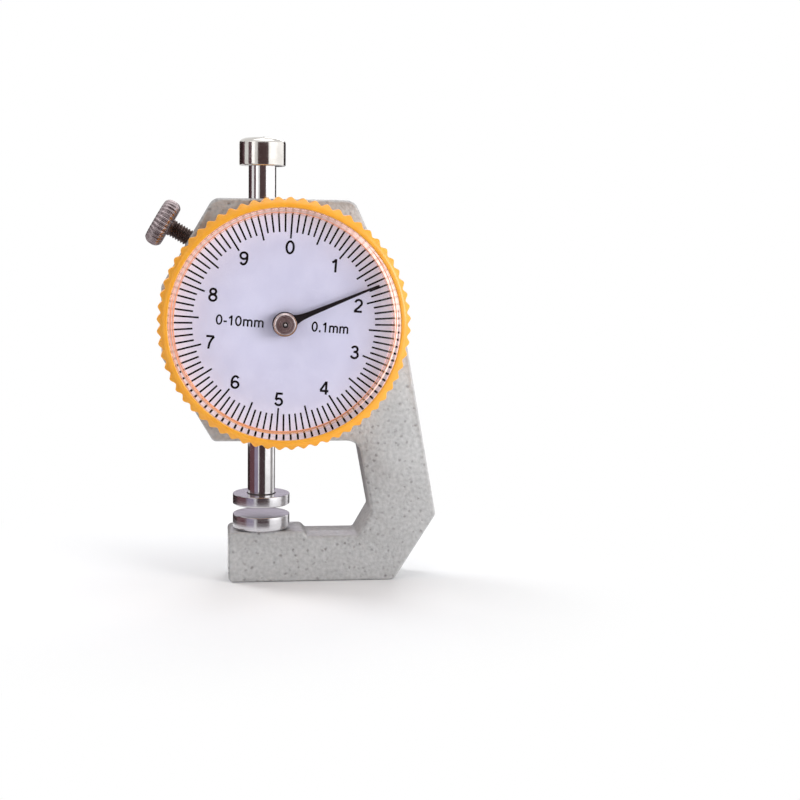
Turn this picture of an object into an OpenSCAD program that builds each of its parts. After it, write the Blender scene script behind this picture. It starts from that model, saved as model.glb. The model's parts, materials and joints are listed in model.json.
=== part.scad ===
// Pocket dial thickness gauge: cast C-frame, sprung spindle, rack and pinion, rotating toothed bezel.
// Millimetres. X to the right, Y to the back, Z up. Origin on the base, under the spindle axis.

/* [Frame] */
// thickness of the cast frame, front to back
frame_t = 9; // [8.6:0.1:11]
// height of the lower arm
arm_h = 8.9; // [7.5:0.1:11]
// how far the lower arm reaches past the spindle axis
arm_reach = 5.9; // [5.2:0.05:9]
// how far the raised pad under the anvil reaches into the throat
pad_reach = 7.15; // [6.4:0.05:9]
// drop from that pad to the throat's floor
pad_drop = 0.85; // [0.6:0.05:1.5]
// clear height of the throat
throat_h = 16.1; // [15.2:0.1:20]
// depth of the throat from the spindle axis to its back wall
throat_d = 19.2; // [17:0.05:26]
// width of the strip of frame behind the throat
back_w = 11.5; // [8:0.1:14]
// height of the eight-sided body
body_h = 41.7; // [40.6:0.1:46]
// chamfer around the front and back edges
edge = 0.5; // [0.3:0.05:0.7]

/* [Contacts] */
// diameter of the spindle
spindle_d = 4.8; // [4.4:0.1:5.2]
// diameter of the contact disc and of the anvil
disc_d = 10; // [8:0.1:10.4]
// thickness of the contact disc
disc_t = 1.86; // [1.5:0.02:2.2]
// height of the anvil above the arm
anvil_h = 2.62; // [1.8:0.02:2.8]
// full measuring travel, one turn of the pointer
travel = 10; // [10:1:10]
// opening between the contacts in the rest pose
rest_gap = 1.75; // [0.5:0.05:5]
// diameter of the lifting button
button_d = 8; // [7:0.1:10]
// height of the lifting button
button_h = 5; // [4:0.1:8]
// bare spindle above the body with the contacts closed
button_gap = 3.8; // [2:0.1:8]

/* [Dial] */
// diameter over the bezel teeth
bezel_d = 42.8; // [42:0.1:44]
// number of grip teeth around the bezel
bezel_teeth = 64; // [48:2:80]
// depth of the grip teeth
tooth_depth = 0.65; // [0.3:0.05:0.7]
// thickness of the dial plate
dial_t = 0.5; // [0.3:0.05:0.7]
// room for the pointer between the dial and the crystal
dial_room = 3; // [2.9:0.1:5]
// thickness of the crystal
crystal_t = 1.2; // [0.8:0.1:1.6]
// length of the pointer from its axis to its tip
pointer_len = 17.4; // [14:0.1:18]
// clockwise turn of the zero mark from upright
zero_turn = 3.9; // [0:0.1:10]
// clockwise turn of the grip teeth from upright
grip_turn = 2.33; // [0:0.01:5.6]

/* [Movement] */
// teeth on the pinion
pinion_teeth = 16; // [16:1:16]
// diameter of the arbor in its front bearing
arbor_d = 1.5; // [1.2:0.1:1.6]
// thickness of the web between the cavity and the dial
web_t = 1.6; // [1.4:0.1:2]
// thickness of the back cover
cover_t = 1.2; // [1:0.1:1.4]
// thickness of the movement bridge
bridge_t = 1; // [0.8:0.05:1.1]
// diameter of the movement's cavity
cavity_d = 31; // [30.4:0.1:32]

/* [Lock screw] */
// diameter of the lock screw
lock_d = 3; // [2.5:0.1:3.5]
// diameter of its knurled head
lock_head_d = 8.4; // [6:0.1:10]
// thickness of its head
lock_head_t = 3; // [2:0.1:4]
// bare thread between the frame and the head
lock_bare = 3.65; // [2:0.05:6]

/* [Fits] */
// running clearance on the radius
run_gap = 0.03; // [0.02:0.005:0.05]
// play between rack and pinion flanks
backlash = 0.05; // [0.03:0.01:0.08]
// least gap between moving and fixed inner pieces
inner_gap = 0.2; // [0.15:0.05:0.3]
// gap between the lock pad and the spindle when unlocked
lock_gap = 0.5; // [0.3:0.1:0.8]

/* [Hidden] */
$fn = 96;

// rack and pinion
rack_pitch = travel / pinion_teeth;
gear_m = rack_pitch / PI;
pitch_r = travel / (2 * PI);
tooth_add = gear_m;
tooth_ded = 1.25 * gear_m;
pressure = 20;
spindle_r = spindle_d / 2;
rack_sink = 0.44;
rack_spare = 2.6;
rack_x = spindle_r - rack_sink;
rack_below = travel - rest_gap + rack_spare;
rack_above = rest_gap + rack_spare;
tip_cut = 0.02;
tooth_top = tooth_add - tip_cut;
pinion_half = 1.2;

// main heights and the dial axis
ceiling_z = arm_h + throat_h;
top_z = ceiling_z + body_h;
dial_x = rack_x + pitch_r;
dial_drop = 0.2;
dial_z = ceiling_z + body_h / 2 - dial_drop;
anvil_z = arm_h + anvil_h;
disc_z = anvil_z + rest_gap;
spindle_z = disc_z + disc_t;
button_z = top_z + button_gap + rest_gap;
disc_stem_r = 1.25;
disc_stem_h = 3.9;
tenon_r = 1.5;
tenon_h = 3;

// body outline
body_half = body_h / 2 - dial_drop / 2;
flat_half = 0.288 * body_h;
side_half = 0.145 * body_h;
heel_slope = 7.3;
heel_z = arm_h + 2.8;
floor_z = arm_h - pad_drop;
left_x = dial_x - body_half;
heel_x = throat_d + back_w;
corners = [
  [dial_x - flat_half, top_z, 2],
  [dial_x + flat_half, top_z, 2.2],
  [dial_x + body_half - 0.6, dial_z + 3.5, 2],
  [heel_x, heel_z, 1.2],
  [heel_x - heel_slope, 0, 1.2],
  [-arm_reach, 0, 0.9],
  [-arm_reach, arm_h, 0.9],
  [pad_reach, arm_h, 0.9],
  [pad_reach + pad_drop, floor_z, 0.6],
  [throat_d - 2.5, floor_z, 0.6],
  [throat_d, floor_z + 4.4, 0.8],
  [throat_d - 2.4, ceiling_z, 2.5],
  [dial_x - flat_half, ceiling_z, 1],
  [left_x, dial_z - side_half, 1.5],
  [left_x, dial_z + side_half, 1.5]];
arc_steps = 5;

// depth levels along Y
front_y = -frame_t / 2;
back_y = frame_t / 2;
web_y = front_y + web_t;
seat_y = back_y - cover_t;
bridge_y = seat_y - inner_gap - bridge_t;

// cavity, cover and bushes
cavity_r = cavity_d / 2;
cover_ledge = 1.2;
cover_r = cavity_r + cover_ledge;
lug_r = 1.9;
lug_ring = cavity_r - lug_r + 0.3;
lug_angles = [75, 195, 315];
bush_wall = 0.7;
bush_proud = 0.4;
bush_r = spindle_r + bush_wall;
bush_low_z = dial_z - cavity_r + bush_proud;
bush_high_z = dial_z + cavity_r - bush_proud;
stem_r = 2;
stem_len = 4.4;

// small slotted screws
slot_w = 0.3;
cover_head_r = 1.6;
cover_head_h = 0.65;
cover_shank_r = 0.8;
cover_screw_len = 4.2;
bridge_head_r = 1.4;
bridge_head_h = 0.6;
bridge_shank_r = 0.7;
bridge_screw_len = 3.6;
foot_head_r = 1.2;
foot_head_h = 0.7;
foot_shank_r = 0.6;
foot_screw_len = 1.9;
hole_gap = 0.05;

// distances in front of the frame's middle plane, for the turned dial parts
face_f = frame_t / 2;
register_f = face_f + 1.5;
bezel_back_f = face_f + 0.15;
dial_back_f = register_f + 0.2;
dial_f = dial_back_f + dial_t;
glass_f = dial_f + dial_room;
crystal_f = glass_f + crystal_t;
lip_f = glass_f - 0.15;
bezel_f = crystal_f - 0.5;
bezel_r = bezel_d / 2;
bore_r = bezel_r - tooth_depth - 0.75;
seat_r = bore_r - 0.05;
lip_r = bore_r - 0.4;
dial_hole_r = 1.7;
register_r = bore_r - 1;
wire_f = face_f + 0.8;
needle_f = dial_f + 0.9;
hub_f = dial_f + 2.6;
hub_r = 2;
hub_bevel = 0.35;
sleeve_r = 1.3;
needle_t = 0.3;
arbor_r = arbor_d / 2;

// guide fork, return spring
pin_low_z = dial_z - 3.9;
pin_z = pin_low_z + rest_gap;
pin_r = 0.8;
fork_x = -spindle_r - 2;
fork_t = 0.8;
fork_low_z = pin_low_z - pin_r - 1;
fork_top_z = pin_low_z + travel + 0.6;
fork_y = 2.2;
coil_wire = 0.16;
coil_r = 1.3;
coil_turns = 9;
hook_groove = 0.22;
hook_sink = 0.07;
spring_x = fork_x - coil_r - coil_wire - inner_gap;
pin_end = spring_x - 0.8;
pin_sink = 1.7;
post_r = 0.7;
post_y = 1.2;
post_z = dial_z - sqrt(pow(cavity_r, 2) - pow(dial_x - spring_x, 2)) + 2 * post_r;
foot_t = 0.8;
foot_h = 6.7;
foot_z = dial_z + lug_ring * sin(lug_angles[1]) + lug_r + 0.75;
foot_x = dial_x - sqrt(pow(cavity_r, 2) - pow(foot_z + foot_h - dial_z, 2)) + 0.9;
foot_hole_x = foot_x + foot_head_r + 0.1;
foot_screws = [foot_z + 1.6, foot_z + foot_h - 1.6];

// lock screw axis, square to the upper left side
last_corner = corners[len(corners) - 1];
lock_dx = corners[0][0] - last_corner[0];
lock_dz = corners[0][1] - last_corner[1];
lock_len = sqrt(pow(lock_dx, 2) + pow(lock_dz, 2));
lock_tilt = atan2(lock_dz, lock_dx);
lock_lift = 6.85;
lock_z = dial_z + lock_lift;
lock_face = (-lock_dz * corners[0][0] + lock_dx * (corners[0][1] - lock_z)) / lock_len;
lock_r = lock_d / 2;
pad_r = 1;
pad_s = (spindle_r + lock_gap + pad_r) * lock_len / lock_dz;
head_s = lock_face + lock_bare;

// bridge pillars, right of the arbor
pillar_r = 2;
bridge_reach = 7.2;
pillar_x = dial_x + bridge_reach;
pillar_dz = 5.2;
bridge_boss_r = 1.7;
bearing_r = 1.1;
pivot_r = 0.5;

// outline with rounded corners, moved inwards by inset
function unit(v) = v / norm(v);
function corner_arc(i, inset) =
  let (n = len(corners))
  let (here = [corners[i][0], corners[i][1]])
  let (before = [corners[(i + n - 1) % n][0], corners[(i + n - 1) % n][1]])
  let (after = [corners[(i + 1) % n][0], corners[(i + 1) % n][1]])
  let (u = unit(before - here))
  let (v = unit(after - here))
  let (half = acos(u * v) / 2)
  let (r = corners[i][2])
  let (mid = here + unit(u + v) * r / sin(half))
  let (start = here + u * r / tan(half) - mid)
  let (stop = here + v * r / tan(half) - mid)
  let (a0 = atan2(start[1], start[0]))
  let (turn = atan2(start[0] * stop[1] - start[1] * stop[0], start * stop))
  let (grow = turn < 0 ? r - inset : r + inset)
  [for (k = [0 : arc_steps])
    let (a = a0 + turn * k / arc_steps)
    mid + grow * [cos(a), sin(a)]];
function outline(inset) = [for (i = [0 : len(corners) - 1]) each corner_arc(i, inset)];
function ring_at(inset, y) = [for (p = outline(inset)) [p[0], y, p[1]]];

// involute flank of the pinion
base_r = pitch_r * cos(pressure);
function inv_angle(r) = sqrt(pow(r / base_r, 2) - 1) * 180 / PI - acos(base_r / r);
function flank_half(r) =
  90 / pinion_teeth - backlash / 4 / pitch_r * 180 / PI + inv_angle(pitch_r) - inv_angle(r);
flank_steps = 4;
function flank_radius(k) = base_r + (pitch_r + tooth_top - base_r) * k / flank_steps;
function polar(r, a) = [r * cos(a), r * sin(a)];
function pinion_tooth(a) = concat(
  [polar(pitch_r - tooth_ded, a - flank_half(base_r) - 0.6)],
  [for (k = [0 : flank_steps]) polar(flank_radius(k), a - flank_half(flank_radius(k)))],
  [for (k = [flank_steps : -1 : 0]) polar(flank_radius(k), a + flank_half(flank_radius(k)))],
  [polar(pitch_r - tooth_ded, a + flank_half(base_r) + 0.6)]);

// rack gaps, one trapezium each, open to the right
function rack_gap(z) =
  let (half = rack_pitch / 4 + backlash / 4)
  let (tip = rack_x + tooth_top)
  let (root = rack_x - tooth_ded)
  let (up = tan(pressure))
  [[tip, z - half - tooth_top * up], [root, z - half + tooth_ded * up],
   [root, z + half - tooth_ded * up], [tip, z + half + tooth_top * up]];
rack_low = floor((rack_below - 0.3) / rack_pitch);
rack_high = floor((rack_above - 0.3) / rack_pitch);
function rack_points() = concat(
  [[spindle_r + 1, dial_z - rack_below - 0.4], [rack_x + tooth_top, dial_z - rack_below]],
  [for (k = [-rack_low : rack_high]) each rack_gap(dial_z + k * rack_pitch)],
  [[rack_x + tooth_top, dial_z + rack_above], [spindle_r + 1, dial_z + rack_above + 0.4]]);

// needle that flares towards its hub
needle_steps = 14;
function needle_at(k) = hub_r - 0.4 + (pointer_len - hub_r + 0.4) * pow(k / needle_steps, 1.7);
function needle_half(r) = 0.14 + 0.36 * (1 - r / pointer_len) + 0.45 * exp(-(r - hub_r) / 0.9);

// grip teeth of the bezel
tooth_steps = 8;
function grip_sink(i) = tooth_depth * (0.5 - 0.5 * cos(360 * i / tooth_steps));
function grip_outline(r) = [for (i = [0 : bezel_teeth * tooth_steps - 1])
  polar(r - grip_sink(i), 360 * i / (bezel_teeth * tooth_steps))];

// straight knurl of the lock screw's head
knurl_teeth = 36;
knurl_depth = 0.3;
function knurl_outline(r) = [for (i = [0 : knurl_teeth * 2 - 1])
  polar(i % 2 == 0 ? r : r - knurl_depth, 180 * i / knurl_teeth)];

// flat spiral of the hairspring
collet_r = 1.2;
stud_r = 0.5;
hair_turns = 5;
hair_pitch = 0.75;
hair_t = 0.14;
hair_fit = 0.02;
stud_slot = hair_t + 0.12;
hair_steps = hair_turns * 24;
hair_in = collet_r + hair_t / 2 + hair_fit;
hair_out = hair_in + hair_pitch * hair_turns;
function hair_point(k, side) = polar(hair_in + (hair_out - hair_in) * k / hair_steps + side, 15 * k);

// extension spring wire as a swept ring
coil_leg = 2 * coil_wire + 0.5;
coil_low = post_z + post_r + coil_leg;
coil_high = pin_z - pin_r - coil_leg;
wire_sides = 8;
coil_steps = coil_turns * 20;
function coil_point(k, j) =
  let (a = 18 * k)
  let (b = 360 * j / wire_sides)
  let (rr = coil_r + coil_wire * cos(b))
  let (rise = (coil_high - coil_low) * k / coil_steps)
  [rr * cos(a), rr * sin(a), coil_low + rise + coil_wire * sin(b)];

// helpers: rod and slab along Y, turned part about the dial axis, placement along the lock axis
module rod_y(r, y0, y1, x, z) {
  translate([x, y1, z]) rotate([90, 0, 0]) cylinder(r = r, h = y1 - y0);
}
module slab_y(y0, y1) {
  translate([0, y1, 0]) rotate([90, 0, 0]) linear_extrude(height = y1 - y0) children();
}
module turned() {
  translate([dial_x, 0, dial_z]) rotate([90, 0, 0]) rotate_extrude($fn = 180) children();
}
module on_dial(f0, f1) {
  translate([dial_x, -f0, dial_z]) rotate([90, 0, 0]) linear_extrude(height = f1 - f0) children();
}
module on_lock() {
  translate([0, 0, lock_z]) rotate([0, -lock_tilt, 0]) children();
}

// three-sided ring that cuts the chamfer off one edge of the outline
module edge_cut(y_face, inward) {
  n = len(corners) * (arc_steps + 1);
  over = 0.3;
  rings = concat(ring_at(edge + over, y_face - inward * over), ring_at(-over, y_face - inward * over),
    ring_at(-over, y_face + inward * (edge + over)));
  faces_out = [for (a = [0 : 2]) for (i = [0 : n - 1])
    let (b = (a + 1) % 3)
    let (j = (i + 1) % n)
    let (quad = [a * n + i, b * n + i, b * n + j, a * n + j])
    inward > 0 ? quad : [quad[3], quad[2], quad[1], quad[0]]];
  polyhedron(points = rings, faces = faces_out, convexity = 8);
}
module casting() {
  difference() {
    slab_y(front_y, back_y) polygon(outline(0));
    edge_cut(front_y, 1);
    edge_cut(back_y, -1);
  }
}

module frame() {
  color([0.67, 0.67, 0.65]) difference() {
    union() {
      difference() {
        casting();
        rod_y(cavity_r, web_y, back_y + 1, dial_x, dial_z);
        rod_y(cover_r + 0.1, seat_y, back_y + 1, dial_x, dial_z);
      }
      // register that carries the bezel
      turned() polygon([[register_r - 1.6, face_f - 0.4], [register_r, face_f - 0.4],
        [register_r, register_f], [register_r - 1.6, register_f]]);
      // lugs for the cover and pillars for the bridge
      for (a = lug_angles)
        rod_y(lug_r, web_y - 0.3, seat_y, dial_x + lug_ring * cos(a), dial_z + lug_ring * sin(a));
      for (s = [-1, 1])
        rod_y(pillar_r, web_y - 0.3, bridge_y, pillar_x, dial_z + s * pillar_dz);
    }
    // spindle bores
    translate([0, 0, ceiling_z - 1]) cylinder(r = bush_r, h = bush_low_z + 2.2 - ceiling_z + 1);
    translate([0, 0, bush_high_z - 2.2]) cylinder(r = bush_r, h = top_z - bush_high_z + 3.2);
    // anvil socket
    translate([0, 0, arm_h - stem_len - 0.1]) cylinder(r = stem_r, h = stem_len + 2);
    // front bearing, hairspring stud and spring post holes
    rod_y(2, front_y - 1, web_y + 1, dial_x, dial_z);
    rod_y(stud_r, front_y - 1, web_y - 0.4, dial_x + hair_out, dial_z);
    rod_y(post_r, front_y + 0.4, web_y + 1, spring_x, post_z);
    // screw holes
    for (a = lug_angles)
      rod_y(cover_shank_r, seat_y - cover_screw_len, seat_y + 1, dial_x + lug_ring * cos(a),
        dial_z + lug_ring * sin(a));
    for (s = [-1, 1])
      rod_y(bridge_shank_r, bridge_y - bridge_screw_len, bridge_y + 1, pillar_x, dial_z + s * pillar_dz);
    for (z = foot_screws)
      rod_y(foot_shank_r, front_y + 0.4, web_y + 1, foot_hole_x, z);
    // lock screw hole
    on_lock() translate([0, 0, 6]) cylinder(r = lock_r + run_gap, h = lock_face - 5);
    // groove for the snap wire
    turned() translate([register_r, wire_f]) circle(r = 0.33, $fn = 32);
  }
}

module anvil() {
  r = disc_d / 2;
  color([0.78, 0.78, 0.8]) translate([0, 0, arm_h]) rotate_extrude() polygon([
    [0, -stem_len], [stem_r, -stem_len], [stem_r, 0],
    [r - 0.3, 0], [r, 0.3], [r, anvil_h - 0.25], [r - 0.25, anvil_h], [0, anvil_h]]);
}

module bush(z0, z1) {
  translate([0, 0, z0]) difference() {
    cylinder(r = bush_r, h = z1 - z0);
    translate([0, 0, -1]) cylinder(r = spindle_r + run_gap, h = z1 - z0 + 2);
  }
}
module upper_bush() { color([0.72, 0.56, 0.25]) bush(bush_high_z, top_z); }
module lower_bush() { color([0.72, 0.56, 0.25]) bush(ceiling_z, bush_low_z); }

module back_cover() {
  color([0.6, 0.6, 0.58]) difference() {
    rod_y(cover_r, seat_y, back_y, dial_x, dial_z);
    for (a = lug_angles)
      rod_y(cover_shank_r + 2 * hole_gap, seat_y - 1, back_y + 1, dial_x + lug_ring * cos(a),
        dial_z + lug_ring * sin(a));
    for (a = lug_angles)
      rod_y(cover_head_r + 2 * hole_gap, back_y - cover_head_h - hole_gap, back_y + 1,
        dial_x + lug_ring * cos(a), dial_z + lug_ring * sin(a));
  }
}

module small_screw(head_r, head_h, shank_r, length) {
  difference() {
    union() {
      cylinder(r = head_r, h = head_h, $fn = 48);
      translate([0, 0, -length]) cylinder(r = shank_r, h = length + 0.1, $fn = 48);
    }
    translate([-2 * head_r, -slot_w / 2, head_h * 0.55]) cube([4 * head_r, slot_w, head_h]);
  }
}
module back_cover_screws() {
  color([0.7, 0.7, 0.72]) for (a = lug_angles)
    translate([dial_x + lug_ring * cos(a), back_y - cover_head_h - hole_gap, dial_z + lug_ring * sin(a)])
      rotate([-90, 0, 0]) small_screw(cover_head_r, cover_head_h, cover_shank_r, cover_screw_len);
}

module spindle() {
  tall = button_z - spindle_z;
  color([0.8, 0.8, 0.82]) difference() {
    union() {
      translate([0, 0, spindle_z]) cylinder(r = spindle_r, h = tall);
      translate([0, 0, button_z - 0.1]) cylinder(r = tenon_r, h = tenon_h + 0.1);
    }
    // socket for the contact disc's stem
    translate([0, 0, spindle_z - 1]) cylinder(r = disc_stem_r, h = disc_stem_h + 1.1);
    // socket for the guide pin
    translate([-spindle_r - 1, 0, pin_z]) rotate([0, 90, 0]) cylinder(r = pin_r, h = pin_sink + 1.1);
    // rack
    slab_y(-spindle_r - 1, spindle_r + 1) polygon(rack_points());
  }
}

module lift_button() {
  r = button_d / 2;
  color([0.8, 0.8, 0.82]) translate([0, 0, button_z]) rotate_extrude() polygon([[tenon_r, 0], [r - 0.3, 0],
    [r, 0.3], [r, button_h - 0.8], [r - 0.8, button_h], [0, button_h], [0, tenon_h], [tenon_r, tenon_h]]);
}

module contact_disc() {
  r = disc_d / 2;
  color([0.8, 0.8, 0.82]) translate([0, 0, disc_z]) rotate_extrude() polygon([[0, 0], [r - 0.25, 0],
    [r, 0.25], [r, disc_t - 0.15], [r - 0.15, disc_t], [disc_stem_r, disc_t],
    [disc_stem_r, disc_t + disc_stem_h], [0, disc_t + disc_stem_h]]);
}

// groove that a spring hook sits in
module hook_cut(r) {
  rotate_extrude() translate([r + 0.05, 0]) circle(r = hook_groove, $fn = 24);
}

module guide_pin() {
  color([0.75, 0.75, 0.78]) difference() {
    translate([pin_end, 0, pin_z]) rotate([0, 90, 0])
      cylinder(r = pin_r, h = pin_sink - spindle_r - pin_end);
    translate([spring_x, 0, pin_z]) rotate([0, 90, 0]) hook_cut(pin_r);
  }
}

module guide_fork() {
  color([0.74, 0.6, 0.3]) difference() {
    union() {
      translate([fork_x, web_y, fork_low_z]) cube([fork_t, fork_y - web_y, fork_top_z - fork_low_z]);
      translate([foot_x, web_y, foot_z]) cube([fork_x - foot_x + 0.1, foot_t, foot_h]);
    }
    translate([fork_x - 1, -pin_r - run_gap, fork_low_z + 1])
      cube([fork_t + 2, 2 * (pin_r + run_gap), fork_top_z - fork_low_z]);
    for (z = foot_screws)
      rod_y(foot_shank_r + hole_gap, web_y - 1, web_y + 2, foot_hole_x, z);
  }
}
module guide_fork_screws() {
  color([0.7, 0.7, 0.72]) for (z = foot_screws)
    translate([foot_hole_x, web_y + foot_t, z]) rotate([-90, 0, 0])
      small_screw(foot_head_r, foot_head_h, foot_shank_r, foot_screw_len);
}

module spring_post() {
  color([0.75, 0.75, 0.78]) difference() {
    rod_y(post_r, front_y + 0.45, post_y, spring_x, post_z);
    translate([spring_x, 0, post_z]) rotate([90, 0, 0]) hook_cut(post_r);
  }
}

module spring_hook(r) {
  rotate_extrude($fn = 48) translate([r + hook_sink, 0]) circle(r = coil_wire, $fn = 16);
}
module return_spring() {
  m = wire_sides;
  color([0.7, 0.72, 0.75]) {
    translate([spring_x, 0, 0]) polyhedron(
      points = [for (k = [0 : coil_steps]) for (j = [0 : m - 1]) coil_point(k, j)],
      faces = concat([[for (j = [0 : m - 1]) m - 1 - j]],
        [for (k = [0 : coil_steps - 1]) for (j = [0 : m - 1])
          [k * m + j, k * m + (j + 1) % m, (k + 1) * m + (j + 1) % m, (k + 1) * m + j]],
        [[for (j = [0 : m - 1]) coil_steps * m + j]]),
      convexity = 10);
    // hooks round the post and the pin, each with a straight leg to the coil
    translate([spring_x, 0, post_z]) rotate([90, 0, 0]) spring_hook(post_r);
    translate([spring_x, 0, pin_z]) rotate([0, 90, 0]) spring_hook(pin_r);
    for (z = [post_z + post_r, coil_high])
      translate([spring_x, 0, z]) cylinder(r = coil_wire, h = coil_leg, $fn = 16);
    for (z = [coil_low, coil_high])
      translate([spring_x, 0, z]) rotate([0, 90, 0]) cylinder(r = coil_wire, h = coil_r, $fn = 16);
  }
}

module movement_bridge() {
  color([0.74, 0.6, 0.3]) difference() {
    slab_y(bridge_y, bridge_y + bridge_t) difference() {
      union() {
        translate([dial_x, dial_z]) circle(r = bridge_boss_r);
        translate([dial_x, dial_z - bridge_boss_r]) square([bridge_reach, 2 * bridge_boss_r]);
        translate([pillar_x - pillar_r, dial_z - pillar_dz]) square([2 * pillar_r, 2 * pillar_dz]);
        for (s = [-1, 1]) translate([pillar_x, dial_z + s * pillar_dz]) circle(r = pillar_r);
      }
      translate([dial_x, dial_z]) circle(r = bearing_r);
      for (s = [-1, 1]) translate([pillar_x, dial_z + s * pillar_dz]) circle(r = bridge_shank_r + hole_gap);
    }
    for (s = [-1, 1])
      rod_y(bridge_head_r + 2 * hole_gap, bridge_y + bridge_t / 2, bridge_y + bridge_t + 1, pillar_x,
        dial_z + s * pillar_dz);
  }
}
module bridge_screws() {
  color([0.7, 0.7, 0.72]) for (s = [-1, 1])
    translate([pillar_x, bridge_y + bridge_t / 2, dial_z + s * pillar_dz])
      rotate([-90, 0, 0]) small_screw(bridge_head_r, bridge_head_h, bridge_shank_r, bridge_screw_len);
}

module rear_bearing() {
  color([0.72, 0.5, 0.22]) difference() {
    rod_y(bearing_r, bridge_y, bridge_y + bridge_t, dial_x, dial_z);
    rod_y(pivot_r + run_gap, bridge_y - 1, bridge_y + bridge_t + 1, dial_x, dial_z);
  }
}
module front_bearing() {
  color([0.72, 0.5, 0.22]) difference() {
    union() {
      rod_y(2, front_y, web_y, dial_x, dial_z);
      rod_y(1.4, web_y - 0.1, -pinion_half - 0.15, dial_x, dial_z);
    }
    rod_y(arbor_r + run_gap, front_y - 1, 0, dial_x, dial_z);
    // flat that lets the spindle pass
    translate([-spindle_r, -spindle_r, dial_z - 4]) cube([2 * spindle_r + 0.15, 2 * spindle_r, 8]);
  }
}

module pinion_arbor() {
  color([0.78, 0.74, 0.6]) {
    rod_y(arbor_r, -hub_f - 0.15, -pinion_half + 0.1, dial_x, dial_z);
    on_dial(-pinion_half, pinion_half)
      polygon([for (i = [0 : pinion_teeth - 1]) each pinion_tooth(180 + 360 * i / pinion_teeth)]);
    rod_y(0.9, pinion_half - 0.1, bridge_y - 0.1, dial_x, dial_z);
    rod_y(pivot_r, bridge_y - 0.2, bridge_y + bridge_t - 0.1, dial_x, dial_z);
  }
}

module hairspring() {
  color([0.45, 0.5, 0.62]) on_dial(face_f + 0.55, face_f + 1.15) polygon(concat(
    [for (k = [0 : hair_steps]) hair_point(k, -hair_t / 2)],
    [for (k = [hair_steps : -1 : 0]) hair_point(k, hair_t / 2)]));
}
module hairspring_collet() {
  color([0.72, 0.56, 0.25]) difference() {
    rod_y(collet_r, -face_f - 1.35, -face_f - 0.25, dial_x, dial_z);
    rod_y(arbor_r, -face_f - 3, -face_f + 1, dial_x, dial_z);
  }
}
module hairspring_stud() {
  color([0.72, 0.56, 0.25]) difference() {
    rod_y(stud_r, -face_f - 1.3, web_y - 0.45, dial_x + hair_out, dial_z);
    translate([dial_x + hair_out - stud_slot / 2, -face_f - 1.4, dial_z - 2 * stud_r])
      cube([stud_slot, 0.95, 4 * stud_r]);
  }
}

module pointer() {
  color([0.05, 0.05, 0.06]) difference() {
    on_dial(needle_f, needle_f + needle_t) rotate(90 - zero_turn - 360 * rest_gap / travel) union() {
      circle(r = hub_r);
      polygon(concat([for (k = [0 : needle_steps]) [needle_at(k), -needle_half(needle_at(k))]],
        [for (k = [needle_steps : -1 : 0]) [needle_at(k), needle_half(needle_at(k))]]));
    }
    rod_y(sleeve_r, -hub_f, -dial_f, dial_x, dial_z);
  }
}
module pointer_hub() {
  color([0.7, 0.6, 0.45]) turned() polygon([[arbor_r, needle_f - 0.4], [sleeve_r, needle_f - 0.4],
    [sleeve_r, needle_f + needle_t], [hub_r, needle_f + needle_t], [hub_r, hub_f - hub_bevel],
    [hub_r - hub_bevel, hub_f], [arbor_r, hub_f]]);
}

module dial_plate() {
  color([0.88, 0.87, 0.93]) turned() polygon([[dial_hole_r, dial_back_f], [seat_r, dial_back_f],
    [seat_r, dial_f], [dial_hole_r, dial_f]]);
}

module bezel() {
  color([0.95, 0.62, 0.16]) intersection() {
    turned() polygon([[bore_r, bezel_back_f], [bezel_r + 0.2, bezel_back_f], [bezel_r + 0.2, bezel_f - 1.05],
      [bezel_r - tooth_depth - 0.4, bezel_f - 0.1], [bezel_r - tooth_depth - 0.6, bezel_f],
      [lip_r + 0.15, bezel_f], [lip_r, bezel_f - 0.15], [lip_r, lip_f], [bore_r, lip_f]]);
    on_dial(bezel_back_f - 1, bezel_f + 1) rotate(-grip_turn) polygon(grip_outline(bezel_r));
  }
}
module bezel_retainer() {
  color([0.3, 0.3, 0.32]) difference() {
    turned() polygon([[register_r + run_gap, bezel_back_f], [bore_r, bezel_back_f],
      [bore_r, dial_back_f], [register_r + run_gap, dial_back_f]]);
    turned() translate([register_r, wire_f]) circle(r = 0.36, $fn = 32);
  }
}
module crystal() {
  color([0.85, 0.9, 0.92, 0.35]) turned() polygon([[0, glass_f], [lip_r - 1.5, glass_f],
    [lip_r - 1.15, glass_f - 0.35], [lip_r - 1.05, dial_f], [seat_r, dial_f], [seat_r, lip_f - 0.05],
    [lip_r - 0.05, lip_f - 0.05], [lip_r - 0.05, crystal_f - 0.6], [lip_r - 0.9, crystal_f],
    [0, crystal_f]]);
}
module bezel_snap_wire() {
  color([0.7, 0.72, 0.75]) turned() translate([register_r, wire_f]) circle(r = 0.3, $fn = 32);
}

module lock_screw() {
  r = lock_head_d / 2;
  color([0.75, 0.75, 0.77]) on_lock() difference() {
    union() {
      translate([0, 0, pad_s + 1.55]) cylinder(r = lock_r, h = head_s - pad_s - 1.5);
      intersection() {
        translate([0, 0, head_s]) linear_extrude(height = lock_head_t) polygon(knurl_outline(r));
        translate([0, 0, head_s]) rotate_extrude() polygon([[0, 0], [r - 0.45, 0], [r + 0.05, 0.5],
          [r + 0.05, lock_head_t - 0.5], [r - 0.45, lock_head_t], [0, lock_head_t]]);
      }
    }
    translate([0, 0, pad_s]) cylinder(r = 0.6 + run_gap, h = 3.2);
  }
}
module lock_pad() {
  color([0.72, 0.56, 0.25]) on_lock() {
    translate([0, 0, pad_s]) sphere(r = pad_r);
    translate([0, 0, pad_s]) cylinder(r = pad_r, h = 1.5);
    translate([0, 0, pad_s + 1.4]) cylinder(r = 0.6, h = 1.6);
  }
}

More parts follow.
